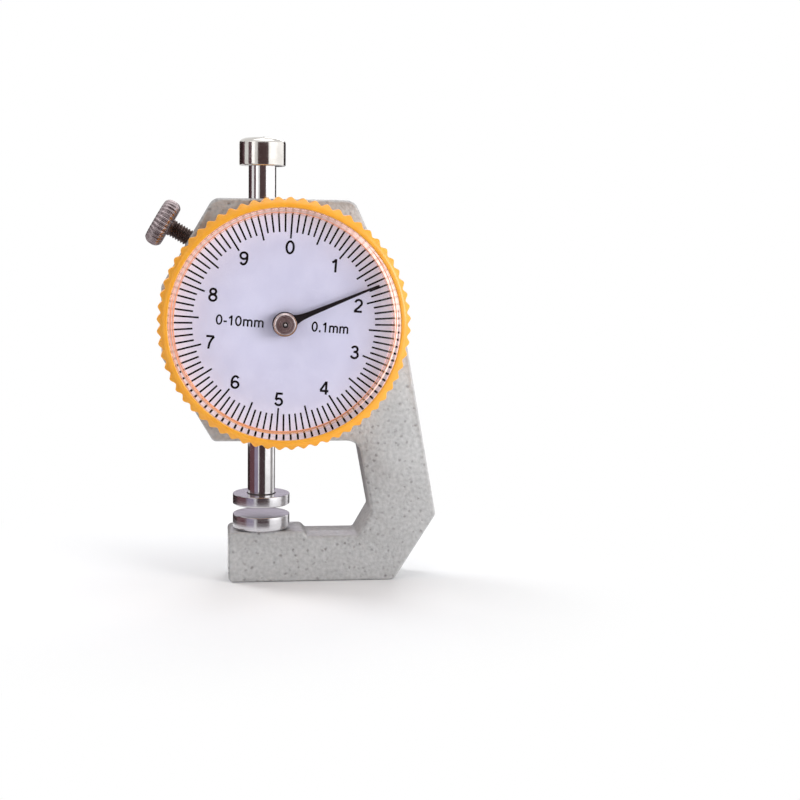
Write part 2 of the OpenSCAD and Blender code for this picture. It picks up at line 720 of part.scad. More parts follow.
frame();
anvil();
upper_bush();
lower_bush();
back_cover();
back_cover_screws();
spindle();
lift_button();
contact_disc();
guide_pin();
guide_fork();
guide_fork_screws();
spring_post();
return_spring();
movement_bridge();
bridge_screws();
rear_bearing();
front_bearing();
pinion_arbor();
hairspring();
hairspring_collet();
hairspring_stud();
pointer();
pointer_hub();
dial_plate();
bezel();
bezel_retainer();
crystal();
bezel_snap_wire();
lock_screw();
lock_pad();
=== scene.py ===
import json
import math
import bmesh
import bpy
from mathutils import Matrix, Vector


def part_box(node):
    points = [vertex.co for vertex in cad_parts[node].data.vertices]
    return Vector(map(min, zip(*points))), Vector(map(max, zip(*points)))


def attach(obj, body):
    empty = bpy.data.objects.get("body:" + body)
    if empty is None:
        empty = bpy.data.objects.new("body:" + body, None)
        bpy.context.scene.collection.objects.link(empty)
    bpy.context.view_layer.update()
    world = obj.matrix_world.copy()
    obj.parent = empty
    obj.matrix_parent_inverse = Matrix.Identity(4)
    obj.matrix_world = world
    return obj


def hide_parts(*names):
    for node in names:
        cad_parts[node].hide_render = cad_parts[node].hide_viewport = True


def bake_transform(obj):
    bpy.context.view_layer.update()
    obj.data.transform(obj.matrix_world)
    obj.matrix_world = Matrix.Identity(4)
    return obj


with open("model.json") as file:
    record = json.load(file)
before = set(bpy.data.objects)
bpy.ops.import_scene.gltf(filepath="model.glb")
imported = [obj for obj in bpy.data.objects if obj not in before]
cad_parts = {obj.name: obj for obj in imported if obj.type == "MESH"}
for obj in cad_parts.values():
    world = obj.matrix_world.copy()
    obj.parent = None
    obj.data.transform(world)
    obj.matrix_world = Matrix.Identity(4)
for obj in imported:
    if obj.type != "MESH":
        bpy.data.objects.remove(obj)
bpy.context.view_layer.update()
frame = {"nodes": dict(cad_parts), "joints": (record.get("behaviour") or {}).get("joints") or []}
scene = bpy.context.scene
nodes = frame["nodes"]
joints = {j["name"]: j for j in frame["joints"]}
mm = 0.001
print("frame loaded:", len(nodes), "nodes")

# axes that the pieces are turned about, worked out from the joints
dialPoint = Vector(joints["bezel_turn"]["pos_m"])
lockPoint = Vector(joints["lock_turn"]["pos_m"])
lockOut = -Vector(joints["lock_travel"]["axis"])  # points out of the frame
onDial = Matrix.Translation((dialPoint.x, 0, dialPoint.z)) @ Matrix.Rotation(math.pi / 2, 4, "X")
onSpindle = Matrix.Identity(4)
onLock = Matrix.Translation(lockPoint) @ lockOut.to_track_quat("Z", "Y").to_matrix().to_4x4()


# how far a node reaches in front of the frame's middle plane, in mm: (back, front)
def depthOf(node):
    low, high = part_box(node)
    return -high.y / mm, -low.y / mm


def radiusOf(node):  # outer radius about the dial axis, in mm
    low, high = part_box(node)
    return (high.x - low.x) / 2 / mm


def fromDial(point):  # a place in the frame, in mm from the dial axis
    return (point - Vector((dialPoint.x, 0, dialPoint.z))) / mm


def toLinear(hexColour):  # sRGB hex to linear RGBA
    parts = [int(hexColour[i:i + 2], 16) / 255 for i in (0, 2, 4)]
    return tuple(c / 12.92 if c <= 0.04045 else ((c + 0.055) / 1.055) ** 2.4 for c in parts) + (1.0,)


# one node with its settings; each input takes a value, an output or a node, which stands for its first output
def addNode(tree, kind, inputs=None, **settings):
    node = tree.nodes.new("ShaderNode" + kind)
    for name, value in settings.items():
        setattr(node, name, value)
    for name, value in (inputs or {}).items():
        if isinstance(value, bpy.types.Node):
            value = value.outputs[0]
        if isinstance(value, bpy.types.NodeSocket):
            tree.links.new(value, node.inputs[name])
        else:
            node.inputs[name].default_value = value
    return node


def newMaterial(name, **sockets):  # constants sit on the shader's sockets
    mat = bpy.data.materials.new(name)
    mat.use_nodes = True
    shader = mat.node_tree.nodes["Principled BSDF"]
    for socket, value in sockets.items():
        shader.inputs[socket].default_value = value
    return mat, mat.node_tree, shader


def perMm(size):  # texture scale for a feature of that many millimetres, in metre coordinates
    return 1 / (size * mm)


# a colour and a height joined to the shader, the height as a relief of that many mm
def joinSurface(tree, shader, paint, height, strength, relief):
    bump = addNode(tree, "Bump", {"Height": height, "Strength": strength, "Distance": relief * mm})
    tree.links.new(paint, shader.inputs["Base Color"])
    tree.links.new(bump.outputs[0], shader.inputs["Normal"])


# how far a place is from an axis through a point, and its arm from that point
def awayFrom(tree, origin, axis):
    place = addNode(tree, "TexCoord").outputs["Object"]
    arm = addNode(tree, "VectorMath", {0: place, 1: origin}, operation="SUBTRACT").outputs[0]
    across = addNode(tree, "VectorMath", {0: arm, 1: axis}, operation="CROSS_PRODUCT")
    reach = addNode(tree, "VectorMath", {0: across}, operation="LENGTH").outputs["Value"]
    return reach, arm, place


# hammer enamel, sprayed on a zinc casting: even grey with shallow dimples, and open pits darkened by painted
# shade
def hammerEnamel():
    look = {"light": "B9B8B7", "dark": "A3A2A1", "pit": "767270",
            "dimple": 0.65, "grain": 0.14, "blotch": 6.0, "drift": 0.6, "warp": 0.5, "relief": 0.13,  # mm
            "grainShare": 0.25, "blotchShare": 0.4, "toneFrom": 0.57, "toneTo": 1.08,
            "pitSpacing": 1.0, "pitShare": 0.75, "pitSize": (0.24, 0.48), "pitDepth": (0.2, 0.9),
            "pitDrop": 0.8,
            "noises": (("dimple", 1.0, 0.4), ("grain", 2.0, 0.5), ("blotch", 2.0, 0.5),
                       ("drift", 1.0, 0.5))}
    mat, tree, shader = newMaterial("hammer_enamel_sprayed", **{
        "Roughness": 0.42, "Specular IOR Level": 0.4, "Coat Weight": 0.8, "Coat Roughness": 0.1})
    place = addNode(tree, "TexCoord").outputs["Object"]
    noise = {}
    for name, detail, rough in look["noises"]:
        noise[name] = addNode(tree, "TexNoise", {
            "Vector": place, "Scale": perMm(look[name]), "Detail": detail, "Roughness": rough}).outputs
    warp = addNode(tree, "VectorMath", {  # pulls the pits out of round
        0: noise["drift"]["Color"], 1: (look["warp"] * mm,) * 3, 2: place}, operation="MULTIPLY_ADD")
    pits = addNode(tree, "TexVoronoi", {
        "Vector": warp, "Scale": perMm(look["pitSpacing"])})
    chance = addNode(tree, "SeparateColor", {0: pits.outputs["Color"]})
    chosen = addNode(tree, "Math", {
        0: chance, 1: look["pitShare"]}, operation="LESS_THAN")
    size = addNode(tree, "MapRange", {
        "Value": chance.outputs[1], "To Min": look["pitSize"][0], "To Max": look["pitSize"][1]})
    hole = addNode(tree, "MapRange", {
        "Value": pits.outputs["Distance"], "From Min": size, "From Max": 0.02},
        interpolation_type="SMOOTHSTEP")
    depth = addNode(tree, "MapRange", {
        "Value": chance.outputs[2], "To Min": look["pitDepth"][0], "To Max": look["pitDepth"][1]})
    pit = addNode(tree, "Math", {0: hole, 1: chosen}, operation="MULTIPLY")
    sunkAndShaded = addNode(tree, "Math", {0: pit, 1: depth}, operation="MULTIPLY")
    mottle = addNode(tree, "Math", {
        0: noise["grain"][0], 1: look["grainShare"], 2: noise["dimple"][0]}, operation="MULTIPLY_ADD")
    uneven = addNode(tree, "Math", {
        0: noise["blotch"][0], 1: look["blotchShare"], 2: mottle}, operation="MULTIPLY_ADD")
    shade = addNode(tree, "MapRange", {
        "Value": uneven, "From Min": look["toneFrom"], "From Max": look["toneTo"]})
    tone = addNode(tree, "Mix", {
        0: shade, 6: toLinear(look["dark"]), 7: toLinear(look["light"])}, data_type="RGBA")
    # painted shade: the pits take the darker colour where the surface sinks
    paint = addNode(tree, "Mix", {
        0: sunkAndShaded, 6: tone.outputs[2], 7: toLinear(look["pit"])}, data_type="RGBA")
    height = addNode(tree, "Math", {
        0: sunkAndShaded, 1: -look["pitDrop"], 2: mottle}, operation="MULTIPLY_ADD")
    joinSurface(tree, shader, paint.outputs[2], height.outputs[0], 0.8, look["relief"])
    return mat


# metal turned or ground about an axis: fine rings that stretch the highlights along the surface
# real tool marks are too fine to show, so spacing is drawn as coarse as it needs
def turnedMetal(name, colour, stain, roughness, spacing, relief, origin, axis):
    stainSize = 1.8  # mm, soft clouds of handling
    mat, tree, shader = newMaterial(name, **{"Metallic": 1.0})
    reach, arm, place = awayFrom(tree, origin, axis)
    along = addNode(tree, "VectorMath", {0: arm, 1: axis}, operation="DOT_PRODUCT")
    ring = addNode(tree, "CombineXYZ", {0: reach, 1: along.outputs["Value"]})
    lines = addNode(tree, "TexNoise", {
        "Vector": ring, "Scale": perMm(spacing), "Detail": 2.0}, noise_dimensions="2D")
    cloud = addNode(tree, "TexNoise", {"Vector": place, "Scale": perMm(stainSize), "Detail": 3.0})
    tone = addNode(tree, "MapRange", {
        "Value": cloud, "From Min": 0.35, "From Max": 0.75})
    paint = addNode(tree, "Mix", {
        0: tone, 6: toLinear(colour), 7: toLinear(stain)}, data_type="RGBA")
    rough = addNode(tree, "MapRange", {
        "Value": lines, "From Min": 0.3, "From Max": 0.7,
        "To Min": roughness * 0.75, "To Max": roughness * 1.3})
    tree.links.new(rough.outputs[0], shader.inputs["Roughness"])
    joinSurface(tree, shader, paint.outputs[2], lines.outputs[0], 0.5, relief)
    return mat


# plastic, rubber, ink or lacquer with an even grain: two close tones and a slight relief that softens gloss
# real grit is too fine to show, so grain is drawn as coarse as it needs
def grainedSurface(name, light, dark, grain, relief, **sockets):
    broadness = 14  # the slow change of tone, in grains
    mat, tree, shader = newMaterial(name, **sockets)
    place = addNode(tree, "TexCoord").outputs["Object"]
    fine = addNode(tree, "TexNoise", {"Vector": place, "Scale": perMm(grain), "Detail": 3.0})
    broad = addNode(tree, "TexNoise", {
        "Vector": place, "Scale": perMm(grain * broadness), "Detail": 2.0})
    both = addNode(tree, "Math", {0: fine, 1: broad}, operation="MULTIPLY")
    shade = addNode(tree, "MapRange", {
        "Value": both, "From Min": 0.12, "From Max": 0.42})
    paint = addNode(tree, "Mix", {
        0: shade, 6: toLinear(dark), 7: toLinear(light)}, data_type="RGBA")
    joinSurface(tree, shader, paint.outputs[2], fine.outputs[0], 0.6, relief)
    return mat


# painted glow that stands in for light a clear skirt pipes down on what lies under it: a pale emission that
# grows away from a place
def pipeLight(mat, origin, colour, start, stop, faint, full):
    tree = mat.node_tree
    shader = tree.nodes["Principled BSDF"]
    reach = awayFrom(tree, tuple(origin), (0, 1, 0))[0]
    share = addNode(tree, "MapRange", {
        "Value": reach, "From Min": start * mm, "From Max": stop * mm,
        "To Min": faint, "To Max": full}, interpolation_type="SMOOTHSTEP")
    shader.inputs["Emission Color"].default_value = toLinear(colour)
    tree.links.new(share.outputs[0], shader.inputs["Emission Strength"])


# clear acrylic, moulded and polished: bends what is behind it and lets the lamps through
def clearAcrylic():
    mat, tree, shader = newMaterial("clear_acrylic_moulded", **{
        "Base Color": toLinear("FCFDFF"), "Roughness": 0.015, "IOR": 1.49, "Transmission Weight": 1.0})
    rays = addNode(tree, "LightPath")
    soft = addNode(tree, "Math", {
        0: rays.outputs["Is Shadow Ray"], 1: rays.outputs["Is Diffuse Ray"]}, operation="MAXIMUM")
    passing = addNode(tree, "BsdfTransparent", {"Color": toLinear("FAFBFD")})
    mixed = addNode(tree, "MixShader", {
        0: soft, 1: shader, 2: passing})
    tree.links.new(mixed.outputs[0], tree.nodes["Material Output"].inputs["Surface"])
    return mat


spindleAxis = ((0, 0, 0), (0, 0, 1))
dialAxis = (tuple(dialPoint), (0, 1, 0))
screwAxis = (tuple(lockPoint), tuple(lockOut))
enamel = hammerEnamel()
# steel about the spindle: the rod is nearly a mirror with long bands, the discs are greyer and softer
groundSteel = turnedMetal("tool_steel_ground", "DEDCDD", "D2CFD0", 0.12, 0.09, 0.0012, *spindleAxis)
lappedSteel = turnedMetal("tool_steel_lapped", "D3D1D4", "C4C1C4", 0.2, 0.12, 0.0012, *spindleAxis)
# nickel plate: warm and bright on the button, pinkish with turning rings on the hub
nickelButton = turnedMetal("nickel_plate_on_steel", "CFCCC8", "C2BEB9", 0.13, 0.15, 0.002, *spindleAxis)
# the knurled head is dull nickel, darker and pinker as a painted reflection of dark surroundings
nickelScrew = turnedMetal("nickel_plate_on_screw", "A09496", "8C8082", 0.3, 0.6, 0.0001, *screwAxis)
nickelHub = turnedMetal("nickel_plate_turned_hub", "DDD2CE", "B8A6A2", 0.18, 0.2, 0.004, *dialAxis)
# oiled black oxide: brown black, partly real oxide and partly painted shade, with thin glints on the crests
oxideAndShadeThread = turnedMetal("black_oxide_and_painted_shade", "7A6A66", "574A47", 0.34, 0.11, 0.004, *screwAxis)
# silver steel: plain bright pivots and screws
steelArbor = turnedMetal("silver_steel_turned", "C9C6C2", "B4B0AB", 0.18, 0.1, 0.003, *dialAxis)
# brass: clear yellow, its rings about the axis it was cut on
turnedBrass = turnedMetal("brass_turned", "C9A24E", "A9823A", 0.26, 0.12, 0.004, *dialAxis)
bushBrass = turnedMetal("brass_reamed", "C9A24E", "A9823A", 0.24, 0.12, 0.004, *spindleAxis)
# spring steel: grey wire with soft glints, and a deep blue temper colour on the strip
springWire = turnedMetal("music_wire_drawn", "B4B4B8", "93939A", 0.25, 0.1, 0.002, *spindleAxis)
bluedStrip = turnedMetal("spring_strip_blued", "4B5878", "36405E", 0.28, 0.1, 0.002, *dialAxis)
# amber ABS: warm orange yellow, light sinks in a little and softens the teeth
amberAbs = grainedSurface("amber_abs_moulded", "FBB034", "F3A428", 0.11, 0.003, **{
    "Roughness": 0.32, "Subsurface Weight": 0.12, "Subsurface Scale": 0.0012,
    "Subsurface Radius": (1.0, 0.45, 0.12)})
# dial lacquer: cool white with little gloss, brighter towards the rim by a painted glow
dialLacquer = grainedSurface("white_lacquer_on_aluminium", "E8E4F6", "DEDAEE", 0.2, 0.0015, **{
    "Roughness": 0.38})
pipeLight(dialLacquer, dialPoint, "FFF2F6", 13.0, 19.4, 0.0, 0.24)
# blacks: flat ink, a needle with a faint sheen, a brown black bead of painted shade, dull acetal
padInk = grainedSurface("black_ink_pad_printed", "0C0A0E", "050406", 0.09, 0.002, **{
    "Roughness": 0.6, "Specular IOR Level": 0.03})
needleLacquer = grainedSurface("black_lacquer_sprayed", "100F12", "08080A", 0.12, 0.002, **{
    "Roughness": 0.35, "Specular IOR Level": 0.15})
rodFootShade = grainedSurface("painted_shade_at_rod_foot", "2C2326", "1E181A", 0.1, 0.003, **{"Roughness": 0.5})
blackAcetal = grainedSurface("black_acetal_moulded", "2A2A2C", "1D1D1F", 0.15, 0.003, **{"Roughness": 0.45})
acrylic = clearAcrylic()
# painted reflection of the amber bezel in the rim: salmon lips with a painted glow, a pale film the print
# shows through
reflectionLips = grainedSurface("painted_reflection_lips", "F0A880", "E89A70", 0.12, 0.002, **{
    "Roughness": 0.4, "Emission Color": toLinear("F0A47C"), "Emission Strength": 0.3})
reflectionWeb = grainedSurface("painted_reflection_web", "FCE3D6", "F6D6C6", 0.12, 0.002, **{
    "Roughness": 0.4, "Alpha": 0.42})
# painted highlight: the film glows brightest at the right, where the crystal's rim catches the lamp
pipeLight(reflectionWeb, dialPoint - Vector((19 * mm, 0, 0)), "FCDCCE", 31.0, 37.8, 0.22, 1.2)
print("materials made:", len(bpy.data.materials))


# corners of an outline rounded off: each point is (x, y, round), each round a short curve
def softCorners(points, steps=4, closed=True):
    out = []
    count = len(points)
    for i, (x, y, cut) in enumerate(points):
        here = Vector((x, y))
        if cut == 0 or (not closed and i in (0, count - 1)):
            out.append(here)
            continue
        ends = []
        for other in (points[i - 1], points[(i + 1) % count]):
            side = Vector(other[:2]) - here
            ends.append(here + side.normalized() * min(cut, side.length * 0.48))
        for k in range(steps + 1):
            t = k / steps
            out.append(ends[0] * (1 - t) ** 2 + here * 2 * t * (1 - t) + ends[1] * t ** 2)
    return out


# turns a (radius, height) outline about Z, in mm. shape(radius, height, angle) may change the radius
def lathe(outline, steps, closed=False, shape=None):
    bm = bmesh.new()
    rings = []
    for radius, height in outline:
        if radius < 1e-6:
            rings.append([bm.verts.new((0, 0, height))] * steps)
            continue
        ring = []
        for k in range(steps):
            angle = 2 * math.pi * k / steps
            r = shape(radius, height, angle) if shape else radius
            ring.append(bm.verts.new((r * math.cos(angle), r * math.sin(angle), height)))
        rings.append(ring)
    pairs = list(zip(rings, rings[1:])) + ([(rings[-1], rings[0])] if closed else [])
    for lower, upper in pairs:
        for k in range(steps):
            corners = [lower[k], lower[(k + 1) % steps], upper[(k + 1) % steps], upper[k]]
            face = list(dict.fromkeys(corners))
            if len(face) > 2:
                bm.faces.new(face)
    return bm


# skins rows of points, each row to the next: a loop joins the last to the first, else both ends are capped
def skinRows(bm, rows, loop=False):
    count = len(rows[0])
    for one, two in zip(rows, rows[1:] + (rows[:1] if loop else [])):
        for a in range(count):
            b = (a + 1) % count
            bm.faces.new((one[a], one[b], two[b], two[a]))
    if not loop:
        bm.faces.new(rows[0][::-1])
        bm.faces.new(rows[-1])


def pourInto(bm, other):  # adds the second bmesh to the first
    mesh = bpy.data.meshes.new("blank")
    other.to_mesh(mesh)
    other.free()
    bm.from_mesh(mesh)
    bpy.data.meshes.remove(mesh)


# a bmesh in local mm becomes an object in the shared frame, smooth up to an angle
def newObject(name, bm, place, material, sharp):
    mesh = bpy.data.meshes.new(name)
    bmesh.ops.recalc_face_normals(bm, faces=bm.faces)
    bm.to_mesh(mesh)
    bm.free()
    mesh.transform(place @ Matrix.Scale(mm, 4))
    mesh.shade_smooth()
    mesh.set_sharp_from_angle(angle=math.radians(sharp))
    mesh.materials.append(material)
    piece = bpy.data.objects.new(name, mesh)
    scene.collection.objects.link(piece)
    return piece


def addPiece(name, bm, place, material, body, slot, *replaced, sharp=32):  # a piece that rides on a body
    piece = newObject(name, bm, place, material, sharp)
    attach(piece, body)
    if replaced:
        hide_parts(*replaced)
    return piece


def roundBar(bm, x, y, low, high, radius, steps=48):  # adds a closed cylinder along local Z
    at = Matrix.Translation((x, y, (low + high) / 2))
    bmesh.ops.create_cone(bm, cap_ends=True, segments=steps, radius1=radius, radius2=radius,
                          depth=high - low, matrix=at)


# cuts a bmesh of closed shapes out of another
def carve(bm, cutter):
    made = []
    for part in (bm, cutter):
        mesh = bpy.data.meshes.new("blank")
        bmesh.ops.recalc_face_normals(part, faces=part.faces)
        part.to_mesh(mesh)
        part.free()
        made.append(bpy.data.objects.new("blank", mesh))
        scene.collection.objects.link(made[-1])
    cut = made[0].modifiers.new("cut", "BOOLEAN")
    cut.operation = "DIFFERENCE"
    cut.solver = "EXACT"
    cut.object = made[1]
    result = bmesh.new()
    result.from_mesh(made[0].evaluated_get(bpy.context.evaluated_depsgraph_get()).data)
    for blank in made:
        bpy.data.objects.remove(blank)
    return result


# cast frame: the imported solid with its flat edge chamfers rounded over, as paint leaves them
frameLook = {"chamfer": 0.5, "roundSteps": 5}


def buildFrame():
    bm = bmesh.new()
    bm.from_mesh(nodes["frame"].data)
    bmesh.ops.scale(bm, vec=(1 / mm,) * 3, verts=bm.verts)
    bmesh.ops.remove_doubles(bm, verts=bm.verts, dist=0.001)
    back = max(v.co.y for v in bm.verts)
    chamfer, steps = frameLook["chamfer"], frameLook["roundSteps"]
    flat = back - chamfer  # where the side walls end
    slant = [f for f in bm.faces if 0.6 < abs(f.normal.y) < 0.8
             and all(flat - 0.01 < abs(v.co.y) < back + 0.01 for v in f.verts)]
    bmesh.ops.delete(bm, geom=slant, context="FACES")
    for side in (-1, 1):
        rims = {}
        for level in (flat, back):
            rims[level] = [v for v in bm.verts if abs(v.co.y - side * level) < 0.005
                           and any(e.is_boundary for e in v.link_edges)]
        partner = {}
        for v in rims[flat]:
            partner[v] = min(rims[back], key=lambda w: (w.co.x - v.co.x) ** 2 + (w.co.z - v.co.z) ** 2)
        arcs = {}
        for v, w in partner.items():
            arc = [v]
            for k in range(1, steps):
                a = math.pi / 2 * k / steps
                lean = 1 - math.cos(a)
                out = side * (flat + chamfer * math.sin(a))
                arc.append(bm.verts.new((v.co.x + (w.co.x - v.co.x) * lean, out,
                                         v.co.z + (w.co.z - v.co.z) * lean)))
            arcs[v] = arc + [w]
        edges = [e for e in bm.edges if e.is_boundary and e.verts[0] in partner and e.verts[1] in partner]
        for edge in edges:
            one, two = arcs[edge.verts[0]], arcs[edge.verts[1]]
            for k in range(steps):
                corners = list(dict.fromkeys((one[k], two[k], two[k + 1], one[k + 1])))
                if len(corners) > 2:
                    bm.faces.new(corners)
    return addPiece("cast_frame", bm, Matrix.Identity(4), enamel, "frame_body", "hammertone_paint", "frame")


castFrame = buildFrame()
print("frame rounded:", len(castFrame.data.polygons), "faces")

# contacts: ground discs with broken edges, and a dark bead at the rod's foot: painted shade where the rod
# meets the disc
contactLook = {"edge": 0.22, "topEdge": 0.16, "land": 1.2, "topLand": 0.8, "tail": 2.0, "tailLength": 4.4,
               "under": 0.3, "stem": 1.25, "bead": 0.2, "beadIn": 0.05, "beadSteps": 96, "steps": 128}


def buildContacts():
    edge, land, steps = contactLook["edge"], contactLook["land"], contactLook["steps"]
    low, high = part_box("anvil")
    radius, foot, top = high.x / mm, low.z / mm, high.z / mm
    tail, under = contactLook["tail"], contactLook["under"]
    arm = foot + contactLook["tailLength"]  # where the disc leaves the frame's arm
    outline = softCorners([(0, foot, 0), (tail, foot, 0.2), (tail, arm, 0), (radius - under, arm, 0.05),
                           (radius, arm + under, 0.12), (radius, top, edge), (radius - land, top, 0),
                           (0, top, 0)], closed=False)
    addPiece("anvil_contact", lathe(outline, steps), onSpindle, lappedSteel, "frame_body", "ground_steel",
             "anvil")

    low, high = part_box("contact_disc")
    radius, foot, stemTop = high.x / mm, low.z / mm, high.z / mm
    rodLow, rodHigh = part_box("spindle")
    rod, top = rodHigh.x / mm, rodLow.z / mm
    stem, topLand = contactLook["stem"], contactLook["topLand"]
    outline = softCorners([(0, foot, 0), (radius - land, foot, 0), (radius, foot, edge),
                           (radius, top, contactLook["topEdge"]), (radius - topLand, top, 0),
                           (stem, top, 0), (stem, stemTop, 0.15), (0, stemTop, 0)], closed=False)
    addPiece("spindle_contact", lathe(outline, steps), onSpindle, lappedSteel, "spindle_body",
             "ground_steel", "contact_disc")

    # painted shade: a dark bead round the rod's foot stands in for the shadow line where rod and disc meet
    bead, inside = contactLook["bead"], rod - contactLook["beadIn"]
    outline = softCorners([(inside, top, 0), (rod + bead, top, 0), (inside, top + bead, 0.1)])
    addPiece("rod_foot_shade_bead", lathe(outline, contactLook["beadSteps"], closed=True), onSpindle,
             rodFootShade, "spindle_body", "dark_plastic")


buildContacts()

# lifting button: turned cap pressed on the spindle
buttonLook = {"edge": 0.35, "crown": 0.25, "brow": 0.8, "tenon": 1.5, "tenonHeight": 3.0, "steps": 128}


def buildButton():
    low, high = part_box("lift_button")
    radius, foot, top = high.x / mm, low.z / mm, high.z / mm
    tenon, seat = buttonLook["tenon"], foot + buttonLook["tenonHeight"]
    crown, brow = buttonLook["crown"], buttonLook["brow"]
    outline = softCorners([(0, seat, 0), (tenon, seat, 0), (tenon, foot, 0),
                           (radius, foot, buttonLook["edge"]), (radius, top - brow, 0.4),
                           (radius - brow, top - crown, 0.6), (0, top, 0)], closed=False)
    addPiece("thumb_button", lathe(outline, buttonLook["steps"]), onSpindle, nickelButton, "spindle_body",
             "plated_steel", "lift_button")


buildButton()
print("contacts and button turned")

# toothed bezel: rounded grip teeth, cut back by a cone at the front
bezelLook = {"teeth": 64, "toothDepth": 0.58, "point": 0.5, "gripTurn": 2.33, "stepsPerTooth": 16,
             "flatIn": 0.5, "coneLip": 0.06, "coneDrop": 1.05, "coneOver": 0.2, "lip": 19.6, "bore": 20.0,
             "lipBack": 9.55}


def buildBezel():
    back, front = depthOf("bezel")
    outer, depth = radiusOf("bezel"), bezelLook["toothDepth"]
    lip, bore, lipBack = bezelLook["lip"], bezelLook["bore"], bezelLook["lipBack"]
    teeth, point = bezelLook["teeth"], bezelLook["point"]
    ease = math.acos(point)  # rounds the tips and the roots
    flatEnd, coneEnd = outer - depth - bezelLook["flatIn"], outer + bezelLook["coneOver"]
    coneTop, coneLow = front - bezelLook["coneLip"], front - bezelLook["coneDrop"]
    slope = (coneTop - coneLow) / (coneEnd - flatEnd)
    bm = bmesh.new()
    steps = teeth * bezelLook["stepsPerTooth"]
    rows = []
    for k in range(steps):
        angle = 2 * math.pi * k / steps
        wave = (math.acos(point * math.cos(teeth * angle)) - ease) / (math.pi - 2 * ease)
        tip = outer - depth * wave
        shoulder = coneLow + (coneEnd - tip) * slope
        outline = softCorners([(bore, back, 0.05), (tip, back, 0.2), (tip, shoulder, 0.22),
                               (flatEnd, coneTop, 0.3), (lip, front, 0.18), (lip, lipBack, 0.05),
                               (bore, lipBack, 0.05)])
        turn = angle - math.radians(bezelLook["gripTurn"])
        rows.append([bm.verts.new((r * math.cos(turn), r * math.sin(turn), f)) for r, f in outline])
    skinRows(bm, rows, loop=True)
    addPiece("grip_bezel", bm, onDial, amberAbs, "bezel_body", "amber_plastic", "bezel", sharp=50)


buildBezel()

# crystal: flat front, bevelled rim, and a skirt that stands over the dial's edge
crystalLook = {"clear": 0.15, "thick": 1.2, "bevel": 0.22, "skirtIn": 18.55, "gap": 0.05, "steps": 256}


def buildCrystal():
    back, front = depthOf("crystal")
    seat, gap = radiusOf("dial_plate"), crystalLook["gap"]
    rim, step = bezelLook["lip"] - gap, bezelLook["lipBack"] - gap
    foot, inner = back + crystalLook["clear"], front - crystalLook["thick"]
    bevel, skirt = crystalLook["bevel"], crystalLook["skirtIn"]
    outline = softCorners([(0, inner, 0), (skirt, inner, 0.05), (skirt, foot, 0.05), (seat, foot, 0.05),
                           (seat, step, 0.05), (rim, step, 0.03), (rim, front - bevel, 0.12),
                           (rim - bevel, front, 0.2), (0, front, 0)], closed=False)
    addPiece("dial_crystal", lathe(outline, crystalLook["steps"]), onDial, acrylic, "bezel_body",
             "clear_plastic", "crystal", sharp=40)


buildCrystal()

# painted reflection of the amber bezel: a thin translucent web with two lips between the crystal's skirt and
# the dial, set off upwards
# each pair is a radius and how far its circle sits above the dial's centre
rimReflectionLook = {"innerLip": (18.58, 0.1), "outerLip": (18.95, 0.45), "edge": (19.35, 0.5), "lip": 0.13,
            "lift": 0.016, "web": 0.04, "height": 0.12, "steps": 256}


# the web and lips are a painted reflection of the amber bezel, not a part of the gauge
def buildSeal():
    foot, steps = depthOf("dial_plate")[1] + rimReflectionLook["lift"], rimReflectionLook["steps"]
    web, top, lip = foot + rimReflectionLook["web"], foot + rimReflectionLook["height"], rimReflectionLook["lip"]
    inner, innerRise = rimReflectionLook["innerLip"]
    edge, edgeRise = rimReflectionLook["edge"]
    ring = lathe([(inner, foot), (edge, foot), (edge, web), (inner, web)], steps, closed=True)
    for v in ring.verts:
        v.co.y += innerRise if math.hypot(v.co.x, v.co.y) < (inner + edge) / 2 else edgeRise
    addPiece("rim_reflection_web", ring, onDial, reflectionWeb, "bezel_body", "amber_plastic")
    for name, part in (("rim_reflection_lip_1", "innerLip"), ("rim_reflection_lip_2", "outerLip")):
        r, rise = rimReflectionLook[part]
        over = r + lip
        outline = softCorners([(r, web, 0), (over, web, 0), (over, top, 0.05), (r, top, 0.05)], steps=3)
        ring = lathe(outline, steps, closed=True)
        bmesh.ops.translate(ring, vec=(0, rise, 0), verts=ring.verts)
        addPiece(name, ring, onDial, reflectionLips, "bezel_body", "amber_plastic")


buildSeal()
print("bezel, crystal and seal made")

# dial plate and its print: a hundred divisions, ten figures and two plain notes, all in one ink film
# a note is its words, the place of its middle and its width
dialLook = {"zeroTurn": 3.9, "hole": 1.7, "steps": 192, "ink": 0.015, "sunk": 0.005,
            "divisions": 100, "longEvery": 5, "longFrom": 14.49, "shortFrom": 15.54, "tickEnd": 19.7,
            "tickWidth": 0.3, "boldFrom": 18.9, "boldWidth": 0.36, "boldStep": 0.05,
            "figures": 10, "figureRing": 13.0, "figureHeight": 2.28, "pen": 0.165,
            "notes": (("0-10mm", -7.58, -0.09, 8.1), ("0.1mm", 7.8, -0.1, 6.34)), "noteHeight": 1.7}


def buildDial():
    back, front = depthOf("dial_plate")
    seat, hole = radiusOf("dial_plate"), dialLook["hole"]
    outline = softCorners([(hole, back, 0.05), (seat, back, 0.05), (seat, front, 0.05),
                           (hole, front, 0.1)], steps=2)
    addPiece("dial_disc", lathe(outline, dialLook["steps"], closed=True), onDial, dialLacquer, "bezel_body",
             "dial_enamel", "dial_plate")
    return front


